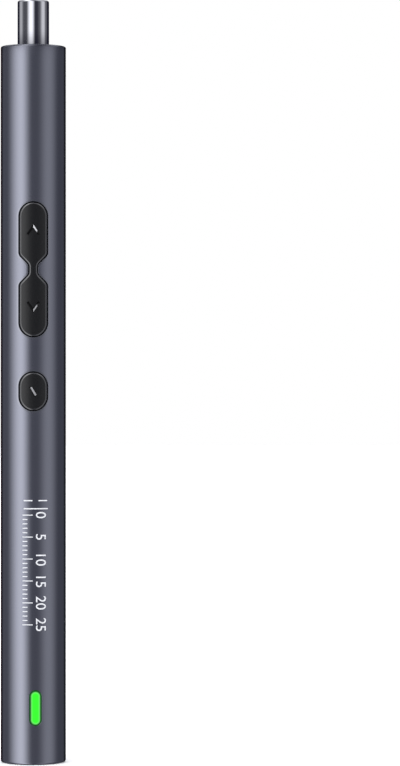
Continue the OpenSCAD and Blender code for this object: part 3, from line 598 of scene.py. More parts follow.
def wrapped_field(skin, r, z0, z1, loops, loop_ids, outward):
    """Fills an unrolled tube wall between z0 and z1 round the loops. Gives the turns and the rows of
    points at its two ends."""
    turns, rows, extra = field_points(r, z0, z1, loops)
    border = [(t * r, z0) for t in turns] + [(math.pi * r, z) for z in rows[1:-1]]
    border += [(t * r, z1) for t in reversed(turns)] + [(-math.pi * r, z) for z in reversed(rows[1:-1])]
    seam, order = {}, []
    for s, z in border:
        # The sheet's right edge is rolled onto its left one, so both use the same points
        key = (round(s / r if s / r < math.pi - SAME else -math.pi, 6), round(z, 6))
        if key not in seam:
            seam[key] = skin.points([rolled(key[0], z, r)])[0]
        order.append(seam[key])
    order += [v for ids in loop_ids for v in ids] + skin.points([rolled(s / r, z, r) for s, z in extra])
    sign = 1 if outward else -1
    lay(skin, [border] + loops, order, lambda middle: not any(within(middle, l) for l in loops),
        lambda point, middle: spread(point[0] / r) * sign, extra, flip=not outward)
    low, high = ([seam[round(t, 6), round(z, 6)] for t in turns[:-1]] for z in (z0, z1))
    return turns[:-1], low, high


body = Skin()
rims_out, rims_in, ids_out, ids_in = [], [], [], []
for outline, edge in openings:
    inward = -sideways(outline)
    previous = None
    for distance, drop, turn in edge_steps(edge, band=RIM_BAND if edge == RIM_EDGE else 0.0):
        ring, r = grown(outline, distance), BODY_R - drop
        places = on_round(ring, r)
        radial = places * (1, 1, 0) / r
        facing = unit(math.sin(turn) * radial + math.cos(turn) * inward)
        now = body.points(places)
        if previous is None:
            rims_out.append(unrolled(ring, r))
            ids_out.append(now)
        else:
            # The rim's rings wear the paler rim metal: a bright-cut edge whose paler colour is also a painted
            # highlight round the opening.
            body.strip(now, previous[0], facing, previous[1], flip=True, paint=1)
        previous = (now, facing)
    inner = body.points(on_round(outline, BORE_R))
    body.strip(inner, previous[0], inward, inward, flip=True)
    rims_in.append(unrolled(outline, BORE_R))
    ids_in.append(inner)
turns, out_low, out_high = wrapped_field(
    body, BODY_R, TAIL_EDGE, BODY_TOP - FRONT_EDGE, rims_out, ids_out, True)
_, in_low, in_high = wrapped_field(body, BORE_R, 0.0, BODY_TOP, rims_in, ids_in, False)
ends = ((out_low, in_low, TAIL_EDGE, 0.0, -1), (out_high, in_high, FRONT_EDGE, BODY_TOP, 1))
for outer, inner, edge, end_z, way in ends:
    level = end_z - way * edge
    previous = (outer, [spread(t) for t in turns])
    for a in np.linspace(0, math.pi / 2, 7)[1:]:
        r, z = BODY_R - edge + edge * math.cos(a), level + way * edge * math.sin(a)
        now = body.points([rolled(t, z, r) for t in turns])
        facing = [spread(t) * math.cos(a) + np.array([0, 0, way * math.sin(a)]) for t in turns]
        # The outer part of the front edge wears the paler rim metal: a bright-cut edge with a painted
        # highlight.
        bright = way > 0 and a < BRIGHT_TURN
        body.strip(previous[0], now, previous[1], facing, flip=way < 0, paint=1 if bright else 0)
        previous = (now, facing)
    flat_n = [np.array([0, 0, float(way)])] * len(turns)
    body.strip(previous[0], inner, flat_n, flat_n, flip=way < 0)
body_skin = new_object("body_skin", body.mesh("body_skin"))
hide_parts("body_tube")
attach(body_skin, "shell")
print("body faces:", len(body.faces))

# %% [markdown]
# ## Keys with soft edges and pressed-in marks
# The two-ended key is one rubber-soft moulding that rocks on the tube's wall. It is made whole, as one
# crowned sheet with a rounded rim and a groove for each arrow, and then cut across its waist into two
# halves. The halves meet at the cut, so no joint shows. On the real key the waist flexes when either end is
# pressed.

# %% The arrow
GROOVE, SHALLOW, STROKE = 0.25, 0.04, 0.5  # depth at a stroke's inner and outer edge, and its width
HIGHLIGHT_END = 0.86  # the painted highlight on an arrow's right stroke ends here, right of its tip


def resampled(points, most=0.16):
    """The same outline with extra points, so that no side is longer than most."""
    out = []
    for a, b in zip(points, np.roll(points, -1, 0)):
        parts = max(1, math.ceil(np.linalg.norm(b - a) / most))
        out += [a + (b - a) * i / parts for i in range(parts)]
    return np.array(out)


class Arrow:
    """An open arrow head, up for way 1 and down for way -1. Each stroke is a facet that sinks inwards."""

    def __init__(self, z, way, half_width=1.3, rise=1.9):
        self.z, self.way, self.half, self.rise = z, way, half_width, rise
        self.side = math.hypot(half_width, rise)
        dx, dz = STROKE * rise / self.side / 2, STROKE * half_width / self.side / 2
        tip = STROKE * self.side / half_width / 2
        points = [(0, rise / 2 + tip), (-half_width - dx, dz - rise / 2), (dx - half_width, -rise / 2 - dz),
                  (0, rise / 2 - tip), (half_width - dx, -rise / 2 - dz), (half_width + dx, dz - rise / 2)]
        if way < 0:
            points = [(x, -z) for x, z in points[:1] + points[:0:-1]]
        self.outline = resampled(np.array(points)) + (0, z)
        self.floor, self.steep = self.outline - outline_normals(self.outline) * 0.05, 0.1

    def sunk(self, x, z):
        """0 on a stroke's outer edge, 1 on its inner edge."""
        middle = self.rise / 2 - abs(x) * self.rise / self.half
        return 0.5 - ((z - self.z) * self.way - middle) * self.half / self.side / STROKE

    def inwards(self, x):
        return np.array([-math.copysign(self.rise, x), 0, -self.half * self.way]) / self.side

    # The right stroke wears bright metal, a painted highlight; the left stroke wears the darker groove finish,
    # a painted shade.
    def paint(self, x):
        return 2 if 0 < x < HIGHLIGHT_END else 3

    def ridge(self, loop):
        return [p for p in loop if abs(p[0]) < SAME]


print("arrow points:", len(Arrow(0, 1).outline))

# %% [markdown]
# The mode key has a short slanting bar in place of an arrow. Both marks answer the same questions: how far
# a point is sunk, which way its facet faces, which paint it wears, and where its ridge runs.

# %% The bar
class Bar:
    """A short slanting bar for the mode key, sinking towards the lower left, inside a softer groove."""

    def __init__(self, z, length=2.5, lean=31):
        self.z, self.cos, self.sin = z, math.cos(math.radians(lean)), math.sin(math.radians(lean))
        a, b = length / 2, STROKE / 2 + 0.15
        flat = resampled(np.array([(b, -a), (b, a), (-b, a), (-b, -a)]))
        turn = np.array([(self.cos, self.sin), (-self.sin, self.cos)])
        self.outline, self.steep = flat @ turn + (0, z), 0.6
        self.floor = (flat * ((b - 0.17) / b, (a - 0.17) / a)) @ turn + (0, z)

    def sunk(self, x, z):
        return 0.5 - (self.cos * x + self.sin * (z - self.z)) / STROKE

    def inwards(self, x):
        return np.array([-self.cos, 0, -self.sin])

    def paint(self, x):
        return 2

    def ridge(self, loop):
        return []


print("bar points:", len(Bar(0).outline))

# %% [markdown]
# A key is built from its rounded rim downwards: the rim's rings, the hidden sides with or without a flange,
# and then the walls of each mark's groove. These helpers make one of them each.

# %% Sides and grooves of a key
KEY_EDGE = 0.42
UNDER_WALL = 0.05  # a flange lies this far under the tube's wall
LIP, COS_45 = 0.03, 0.7071  # the broken edge of a groove, halfway between crown and wall
CLEAR = 0.15  # free band between a grid point and an outline


def key_sides(skin, outline, crown_r, foot_r, edge, flange, foot_y):
    """The rim and sides of a key. Gives its rim and its foot, each as flat points and points of the skin."""
    normal, outward = outline_normals(outline), sideways(outline)
    front = np.array([(0.0, -1.0, 0.0)] * len(outline))
    above = None
    for distance, drop, turn in edge_steps(edge, 7):
        ring, r = outline - normal * distance, crown_r - drop
        facing = unit(math.sin(turn) * on_round(ring, r) * (1, 1, 0) / r + math.cos(turn) * outward)
        now = skin.points(on_round(ring, r))
        if above:
            # The rounded rim wears the edge finish, whose paler colour is partly a painted sheen.
            skin.strip(now, above[0], facing, above[1], paint=1)
        else:
            rim = (ring, now)
        above = (now, facing)
    under = BORE_R - UNDER_WALL
    ledge = [(0.0, under, outward), (flange, under, front)] if flange else []
    for distance, r, facing in ledge + [(flange, foot_r, outward)]:
        places = on_round(outline + normal * distance, r)
        if foot_y is not None and r == foot_r:
            places[:, 1] = foot_y
        now = skin.points(places)
        skin.strip(now, above[0], facing, facing)
        above = (now, facing)
    return rim, (outline + normal * flange, above[0])


def sink(skin, mark, crown_r):
    """The walls of a mark's groove. Gives its edge on the crown, and the skin's points of edge and floor."""
    inward = -sideways(mark.outline)
    radial = on_round(mark.outline, crown_r) * (1, 1, 0) / crown_r
    edge = mark.outline + outline_normals(mark.outline) * LIP
    top = skin.points(on_round(edge, crown_r))
    lip = skin.points(on_round(mark.outline, crown_r - LIP))
    deep = [SHALLOW + (GROOVE - SHALLOW) * mark.sunk(x, z) for x, z in mark.floor]
    low = skin.points([on_round([f], crown_r - d)[0] for f, d in zip(mark.floor, deep)])
    # The groove's walls wear the darker, duller groove finish: painted shade in the recess.
    skin.strip(lip, top, (inward + radial) * COS_45, radial, flip=True, paint=3)
    steep = unit(inward + radial * mark.steep)
    skin.strip(low, lip, steep, steep, flip=True, paint=3)
    return edge, top, low


print("edge of a key:", KEY_EDGE, "mm")

# %% [markdown]
# The crown, the floor of each groove and the foot are flat fields, filled with triangles and put on a
# cylinder. The long key's fields keep a line of sides across its waist, where it will be cut.

# %% Crowned key
def radial_at(point, r):
    """The outward normal of a cylinder at a flat point seen from the front."""
    return on_round([point], r)[0] * (1, 1, 0) / r


def crown_grid(rim, holes, grid):
    """Points of a square grid inside the rim that keep clear of it and of the holes."""
    reach, middle = (rim.max(0) - rim.min(0)) / 2, (rim.max(0) + rim.min(0)) / 2
    count = (reach / grid).astype(int) + 1
    found = []
    for i in range(-count[0], count[0] + 1):
        for k in range(-count[1], count[1] + 1):
            p = middle + np.array([i, k]) * grid
            if within(p, rim) and not any(within(p, l) for l in holes) and all(
                    np.linalg.norm(l - p, axis=1).min() > CLEAR for l in [rim, *holes]):
                found.append(tuple(p))
    return found


def across(loop, z):
    """The two ends of a cut through a loop at height z, or nothing without a height."""
    at = [p for p in loop if abs(p[1] - z) < SAME] if z else []
    return [min(at, key=lambda p: p[0]), max(at, key=lambda p: p[0])] if at else []


def lay_floor(skin, mark, low, crown_r):
    """The sloping floor of a mark's groove."""
    slope = (GROOVE - SHALLOW) / STROKE

    def facet_at(point, middle):
        n = radial_at(point, crown_r) + slope * mark.inwards(middle[0])
        return n / np.linalg.norm(n)

    lay(skin, [mark.floor], low, lambda middle: within(middle, mark.floor), facet_at,
        cut=mark.ridge(mark.floor), paint=lambda middle: mark.paint(middle[0]))


def crowned_key(outline, marks, crown_r, foot_r, edge=KEY_EDGE, flange=0.0, cut_z=None, foot_y=None,
                grid=0.45):
    """A key seen from the front: a crown with a rounded rim, a groove for each mark, and a closed foot."""
    skin = Skin()
    (rim, rim_ids), (foot, foot_ids) = key_sides(skin, outline, crown_r, foot_r, edge, flange, foot_y)
    sunk = [sink(skin, mark, crown_r) for mark in marks]
    holes = [hole for hole, _, _ in sunk]
    extra = crown_grid(rim, holes, grid)
    order = rim_ids + [v for _, top, _ in sunk for v in top] + skin.points(on_round(extra, crown_r))
    lay(skin, [rim, *holes], order,
        lambda middle: within(middle, rim) and not any(within(middle, l) for l in holes),
        lambda point, middle: radial_at(point, crown_r), extra, cut=across(rim, cut_z))
    for mark, (_, _, low) in zip(marks, sunk):
        lay_floor(skin, mark, low, crown_r)
    lay(skin, [foot], foot_ids, lambda middle: within(middle, foot),
        lambda point, middle: -radial_at(point, crown_r), flip=True, cut=across(foot, cut_z))
    return skin


print("a plain round key has", len(crowned_key(pill(4, 4.1), [], CROWN_R, BORE_R).faces), "faces")

# %% The two keys
FOOT_R = 6.0
UP_MARK, DOWN_MARK = 8.9, 8.4  # from the long key's middle to its arrows

twin = crowned_key(
    grown(hourglass(), -KEY_GAP) + (0, TWIN_Z),
    [Arrow(TWIN_Z + UP_MARK, 1), Arrow(TWIN_Z - DOWN_MARK, -1)], CROWN_R, FOOT_R, cut_z=TWIN_Z)
mode = crowned_key(
    pill(LOBE_W, MODE_LEN, -KEY_GAP) + (0, MODE_Z), [Bar(MODE_Z)], CROWN_R, FOOT_R, flange=FLANGE)
print("key faces:", len(twin.faces), len(mode.faces))

# %% [markdown]
# The long key is cut at its middle: faces above go to one half, faces below to the other, and each cut is
# closed with a flat cap, so both are sealed solids.

for name, side, node in (("forward_rocker", 1, "forward_key"), ("reverse_rocker", -1, "reverse_key")):
    rocker = new_object(name, twin.half(TWIN_Z, side).mesh(name))
    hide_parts(node, *(["key_bridge"] if side > 0 else []))
    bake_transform(rocker)
    print(name, "faces:", len(rocker.data.polygons))
mode_skin = new_object("mode_button", mode.mesh("mode_button"))
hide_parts("mode_key")
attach(mode_skin, "mode_key")
print("mode button faces:", len(mode_skin.data.polygons))

# %% [markdown]
# ## The light window
# A drop of clear green resin fills a slot near the tail, flush with the tube, and a lamp behind it makes it
# glow. It is one more crowned piece, with a much smaller rounded edge than the keys.

# %% Light window
GUIDE_EDGE, GUIDE_FOOT_R = 0.09, 5.0

guide = crowned_key(pill(GUIDE_W, GUIDE_LEN) + (guide_x, guide_z), [], BODY_R, GUIDE_FOOT_R,
                    edge=GUIDE_EDGE, foot_y=guide_high[1], grid=0.3, flange=GUIDE_FLANGE)
guide_skin = new_object("light_window", guide.mesh("light_window"))
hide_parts("light_guide")
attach(guide_skin, "shell")
print("light window faces:", len(guide_skin.data.polygons))

# %% [markdown]
# ## The bit socket
# Turned and polished steel with a broken front edge. A bit goes into its hexagonal bore. It is a stack of
# rings of 96 points: each ring has a height and either a radius or the hexagon's changing radius.

# %% Rings of a turned part
SOCKET_SIDES = 96
HEX_AF, HEX_DEEP, JOURNAL_R, NOSE_EDGE = 4.05, 9.0, 2.7, 0.45
FOOT_CHAMFER = 0.2
MOUTH_WIDER = 0.32  # the mouth's round chamfer reaches past the hexagon's flats
socket_turns = [2 * math.pi * i / SOCKET_SIDES for i in range(SOCKET_SIDES)]


def bore(turn):
    """The radius of the hexagonal bore."""
    return HEX_AF / 2 / math.cos((turn % (math.pi / 3)) - math.pi / 6)


def mouth(turn):
    """The radius where the round chamfer meets the hexagon."""
    return max(bore(turn), HEX_AF / 2 + MOUTH_WIDER)


def tilted(degrees):
    """Normals that point outwards at 0, up at 90, inwards at 180 and down at -90."""
    c, s = math.cos(math.radians(degrees)), math.sin(math.radians(degrees))
    return [spread(t) * c + np.array([0, 0, s]) for t in socket_turns]


def ring_stack(skin, profile):
    """Joins rings from a list of (radius or function of the turn, height, tilt before, tilt after)."""
    above = None
    for radius, z, before, after in profile:
        radii = [radius(t) if callable(radius) else radius for t in socket_turns]
        now = skin.points([rolled(t, z, r) for t, r in zip(socket_turns, radii)])
        if above:
            skin.strip(above[0], now, above[1], tilted(before))
        else:
            first = now
        above = (now, tilted(after))
    return first, now


print("hexagon from %.2f to %.2f mm across" % (HEX_AF, 2 * bore(0)))

# %% Bit socket
NOSE_FOOT = box_mm("thrust_washer")[1][2] + 0.05
foot_z = nose_low[2] + 1.2

socket = Skin()
profile = [(JOURNAL_R, foot_z, 0, 0), (JOURNAL_R, NOSE_FOOT, 0, -90),
           (NOSE_R - FOOT_CHAMFER, NOSE_FOOT, -90, -45), (NOSE_R, NOSE_FOOT + FOOT_CHAMFER, -45, 0)]
for a in range(0, 91, 10):
    profile.append((NOSE_R - NOSE_EDGE + NOSE_EDGE * math.cos(math.radians(a)),
                    NOSE_TOP - NOSE_EDGE + NOSE_EDGE * math.sin(math.radians(a)), a, a))
profile += [(HEX_AF / 2 + 0.6, NOSE_TOP, 90, 135), (mouth, NOSE_TOP - 0.3, 135, 160),
            (bore, NOSE_TOP - 0.5, 160, 180), (bore, NOSE_TOP - HEX_DEEP, 180, 180)]
lowest, mouth_floor = ring_stack(socket, profile)
socket.face(lowest[::-1], [(0, 0, -1)] * len(lowest))
socket.face(mouth_floor, [(0, 0, 1)] * len(mouth_floor))
socket_skin = new_object("nose_socket", socket.mesh("nose_socket"))
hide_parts("bit_socket")
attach(socket_skin, "spindle")
print("socket faces:", len(socket.faces))

# %% [markdown]
# ## Finishes
# Every finish is a small recipe of nodes. Two colours that lie close together are mixed by noise, roughness
# wanders within a range, and a bump gives the grain. What differs is the scale and the shape of that
# pattern: blasted metal has fine round pits, turned metal has rings, moulded plastic has soft grain.

# %% Finish recipes
finishes = {}
skins = {"body_skin", "forward_rocker", "reverse_rocker", "mode_button", "light_window", "nose_socket"}


def mixed_colour(paint, share, first, second):
    """A colour between two others, each of them plain or a wire."""
    first, second = (c if isinstance(c, Wire) else (*c, 1) for c in (first, second))
    return paint.out("ShaderNodeMix", {"data_type": "RGBA"}, output=2, i0=share, i6=first, i7=second)


def finish(name, dark, light, rough=(0.4, 0.5), metallic=0.0, grain=900.0, stretch=(1, 1, 1), bump=0.1,
           depth=0.00002, pattern=None, colour=None, detail=3.0, **values):
    """A material: two close colours, a roughness range and a bump, all driven by one pattern in metres."""
    material, paint, shader = new_material(name)
    place = paint.place()
    if pattern:
        cloud = pattern(paint, place)
    else:
        stretched = paint.out("ShaderNodeMapping", Vector=place, Scale=stretch)
        cloud = paint.out("ShaderNodeTexNoise", Vector=stretched, Scale=grain, Detail=detail)
    broad = paint.out("ShaderNodeTexNoise", Vector=place, Scale=60.0, Detail=2.0)
    tone = cloud * 0.6 + broad * 0.4
    base = colour(paint, place, tone) if colour else mixed_colour(paint, tone, dark, light)
    worn = cloud * 0.5 + broad * 0.5
    paint.plug(shader, Base_Color=base, Roughness=worn * (rough[1] - rough[0]) + rough[0], Metallic=metallic)
    if bump:
        paint.plug(shader, Normal=paint.out("ShaderNodeBump", Strength=bump, Distance=depth, Height=cloud))
    paint.plug(shader, **values)
    finishes[name] = material


def dress(names, *materials):
    """Gives finishes to pieces of the scene or to nodes of the model, in the order of their paint numbers."""
    for name in names.split():
        thing = bpy.data.objects.get(name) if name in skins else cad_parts[name]
        paints = [p.material_index for p in thing.data.polygons]
        thing.data.materials.clear()
        for material in materials:
            thing.data.materials.append(finishes[material])
        thing.data.polygons.foreach_set("material_index", [min(p, len(materials) - 1) for p in paints])


print("skins to dress:", len(skins))

# %% [markdown]
# ** Anodised aluminium.** The tube is bead-blasted and then dyed blue-grey. The dye lies on the metal, so
# the shader is a metal with a dark tinted base; the blasting spreads reflections, and its pits are a tenth
# of a millimetre. The rims of the openings and the outer part of the front edge are cut bright after the
# dyeing, so they get a second, paler and smoother metal; its paler colour is also a painted highlight.

# %% Anodised body and its bright-cut rims
finish("anodised_grey", (0.246, 0.253, 0.300), (0.270, 0.277, 0.328), rough=(0.20, 0.24), metallic=1.0,
       grain=5200.0, bump=0.12, depth=0.00002, detail=2.0)
# The paler rim metal: a bright-cut edge, and a painted highlight along the rims and the front edge.
finish("bright_cut_highlight_rim", (0.262, 0.268, 0.31), (0.295, 0.30, 0.34), rough=(0.18, 0.24), metallic=1.0,
       grain=2600.0, bump=0.05, depth=0.00001, detail=2.0)
dress("body_skin", "anodised_grey", "bright_cut_highlight_rim")
dress("front_cap", "anodised_grey")
print("finishes so far:", len(finishes))

# %% [markdown]
# **Polished steel.** The nose is turned on a lathe and then polished: rings a few hundredths of a
# millimetre apart, almost rubbed out. Noise that is squeezed along the axis draws them.

# %% Polished nose
finish("polished_steel", (0.60, 0.605, 0.63), (0.68, 0.685, 0.71), rough=(0.05, 0.08), metallic=1.0,
       grain=90.0, stretch=(1, 1, 60), bump=0.02, depth=0.00001)
dress("nose_socket", "polished_steel")
print("finishes so far:", len(finishes))

# %% [markdown]
# ** Soft-touch key moulding.** Near-black plastic with a fine spark-eroded grain and a satin sheen. Thumbs
# polish its rounded edge, and that edge is also painted a little paler, a painted sheen. The marks are
# pressed in: on each arrow the right stroke is painted as bright metal, a painted highlight, while the left
# stroke and the grooves' walls wear a darker, duller finish, a painted shade. The mode key's bar is a pale
# satin inlay.

# %% Key moulding
finish("key_moulding", (0.0015, 0.0015, 0.0019), (0.0035, 0.0035, 0.0042), rough=(0.32, 0.37), grain=4200.0,
       bump=0.10, depth=0.00002, detail=2.0, IOR=1.53)
# Polished by thumbs, and paler in colour: a painted sheen along the key's edge.
finish("key_edge", (0.004, 0.004, 0.005), (0.009, 0.009, 0.011), rough=(0.20, 0.25), grain=3000.0,
       bump=0.04, depth=0.00001, detail=2.0, IOR=2.0, Coat_Weight=0.6, Coat_Roughness=0.12)
# Bright metal on the right stroke of each forward arrow: a painted highlight.
finish("painted_highlight_metal", (0.46, 0.46, 0.48), (0.60, 0.60, 0.62), rough=(0.18, 0.26), metallic=1.0, grain=3000.0,
       bump=0.03, depth=0.00001)
# Satin metal on the right stroke of the reverse arrow, a painted highlight, and on the floor of the mode key's
# bar, a pale inlay.
finish("satin_inlay_and_highlight", (0.20, 0.20, 0.21), (0.27, 0.27, 0.28), rough=(0.22, 0.30), metallic=1.0, grain=3000.0,
       bump=0.03, depth=0.00001)
# A darker, duller copy of the moulding for the grooves' walls and the arrows' left strokes: painted shade.
finish("groove", (0.0010, 0.0010, 0.0012), (0.0022, 0.0022, 0.0025), rough=(0.5, 0.6), grain=3000.0,
       bump=0.05, depth=0.00001, IOR=1.32)
dress("forward_rocker", "key_moulding", "key_edge", "painted_highlight_metal", "groove")
dress("reverse_rocker mode_button", "key_moulding", "key_edge", "satin_inlay_and_highlight", "groove")
print("finishes so far:", len(finishes))

# %% [markdown]
# **Glowing resin.** The window is brightest over its lamp and pales towards its rim, where the resin is
# thin. The distance to the middle line of the slot, worked out as an expression, drives the colour. The
# last tenth of a millimetre is the dark green of unlit resin.

# %% Light window's resin
GLOW_STOPS = [  # share of the way from the middle line to the rim, and the colour there
    (0.0, (0.034, 1.0, 0.022)), (0.50, (0.040, 0.98, 0.027)), (0.70, (0.13, 0.80, 0.12)),
    (0.80, (0.11, 0.60, 0.09)), (0.90, (0.008, 0.13, 0.014)), (1.0, (0.003, 0.070, 0.008))]


def slot_distance(paint, place):
    """Distance in metres from the middle line of the window's slot, as seen from the front."""
    x, _, z = paint.split(place)
    aside = x - guide_x * MM
    past = paint.maths("MAXIMUM", abs(z - guide_z * MM) - (GUIDE_LEN - GUIDE_W) / 2 * MM, 0.0)
    return paint.maths("SQRT", aside * aside + past * past)


resin, paint, shader = new_material("glowing_resin")
place = paint.place()
part_way = slot_distance(paint, place) / (GUIDE_W / 2 * MM)
speck = paint.out("ShaderNodeTexNoise", Vector=place, Scale=1500.0, Detail=2.0)
hue = paint.out("ShaderNodeValToRGB", {"stops": GLOW_STOPS}, i0=part_way + (speck - 0.5) * 0.02)
unlit = paint.out("ShaderNodeMix", {"data_type": "RGBA", "blend_type": "MULTIPLY"}, output=2, i0=1.0, i6=hue,
                  i7=(0.12, 0.12, 0.12, 1))
paint.plug(shader, Base_Color=unlit, Roughness=speck * 0.1 + 0.2, Emission_Color=hue, Emission_Strength=0.95)
finishes["glowing_resin"] = resin
dress("light_window", "glowing_resin")
print("finishes so far:", len(finishes))

# %% [markdown]
# ## Finishes of the inner parts
# Opened or exploded, the tool shows the same care inside. Most recipes differ by a few numbers, so they
# stand in a table. The patterns that give a part away get a few nodes of their own: laminations and wire
# turns are bands along the axis, a circuit board has a maze of traces, a battery wears a printed sleeve.

# %% Patterns
def bands(period, share=0.5):
    """Bands across the axis with a period in millimetres, softened by noise."""
    def pattern(paint, place):
        wave = paint.maths("SINE", paint.split(place)[2] * (2 * math.pi / (period * MM)))
        speck = paint.out("ShaderNodeTexNoise", Vector=place, Scale=2500.0, Detail=2.0)
        return wave * share + (speck - 0.5) * 0.5 + 0.5
    return pattern


def pores(size):
    """Round pores of a sintered or sprayed surface, with a size in millimetres."""
    def pattern(paint, place):
        return paint.out("ShaderNodeTexVoronoi", Vector=place, Scale=1000.0 / size)
    return pattern


print("patterns:", bands.__name__, pores.__name__)

# %% Colours that need nodes of their own
cell_ring_z = box_mm("battery_cell")[1][2] - 3.5


def traces(paint, place, tone):
    """Solder resist over a maze of copper traces that run along and across the board."""
    turned = paint.out("ShaderNodeMapping", Vector=place, Rotation=(math.pi / 2, 0, 0))
    copper = paint.out("ShaderNodeTexBrick", {"offset": 0.37, "squash": 1.6}, output=1, Vector=turned,
                       Scale=430.0, Mortar_Size=0.05, Brick_Width=1.3, Row_Height=0.34)
    resist = mixed_colour(paint, tone, (0.004, 0.060, 0.026), (0.008, 0.105, 0.045))
    return mixed_colour(paint, copper, resist, (0.030, 0.230, 0.085))


def sleeve(paint, place, tone):
    """A shrink sleeve with a pale ring printed near its end."""
    ring = paint.maths("COMPARE", paint.split(place)[2], cell_ring_z * MM, 1.1 * MM)
    film = mixed_colour(paint, tone, (0.012, 0.045, 0.210), (0.020, 0.070, 0.290))
    return mixed_colour(paint, ring, film, (0.62, 0.64, 0.66))


def two_leads(paint, place, tone):
    """A red lead on one side and a black one on the other."""
    side = paint.maths("GREATER_THAN", paint.split(place)[0], 0.0)
    black = mixed_colour(paint, tone, (0.010, 0.010, 0.012), (0.022, 0.022, 0.025))
    red = mixed_colour(paint, tone, (0.30, 0.012, 0.010), (0.46, 0.030, 0.022))
    return mixed_colour(paint, side, black, red)


def film_tracks(paint, place, tone):
    """Amber film with copper tracks along it."""
    wave = paint.maths("SINE", paint.split(place)[0] * (2 * math.pi / (0.55 * MM)))
    amber = mixed_colour(paint, tone, (0.30, 0.120, 0.018), (0.40, 0.165, 0.028))
    copper = mixed_colour(paint, tone, (0.46, 0.200, 0.075), (0.58, 0.270, 0.110))
    return mixed_colour(paint, paint.maths("GREATER_THAN", wave, 0.1), amber, copper)


print("ring on the battery at %.1f mm" % cell_ring_z)

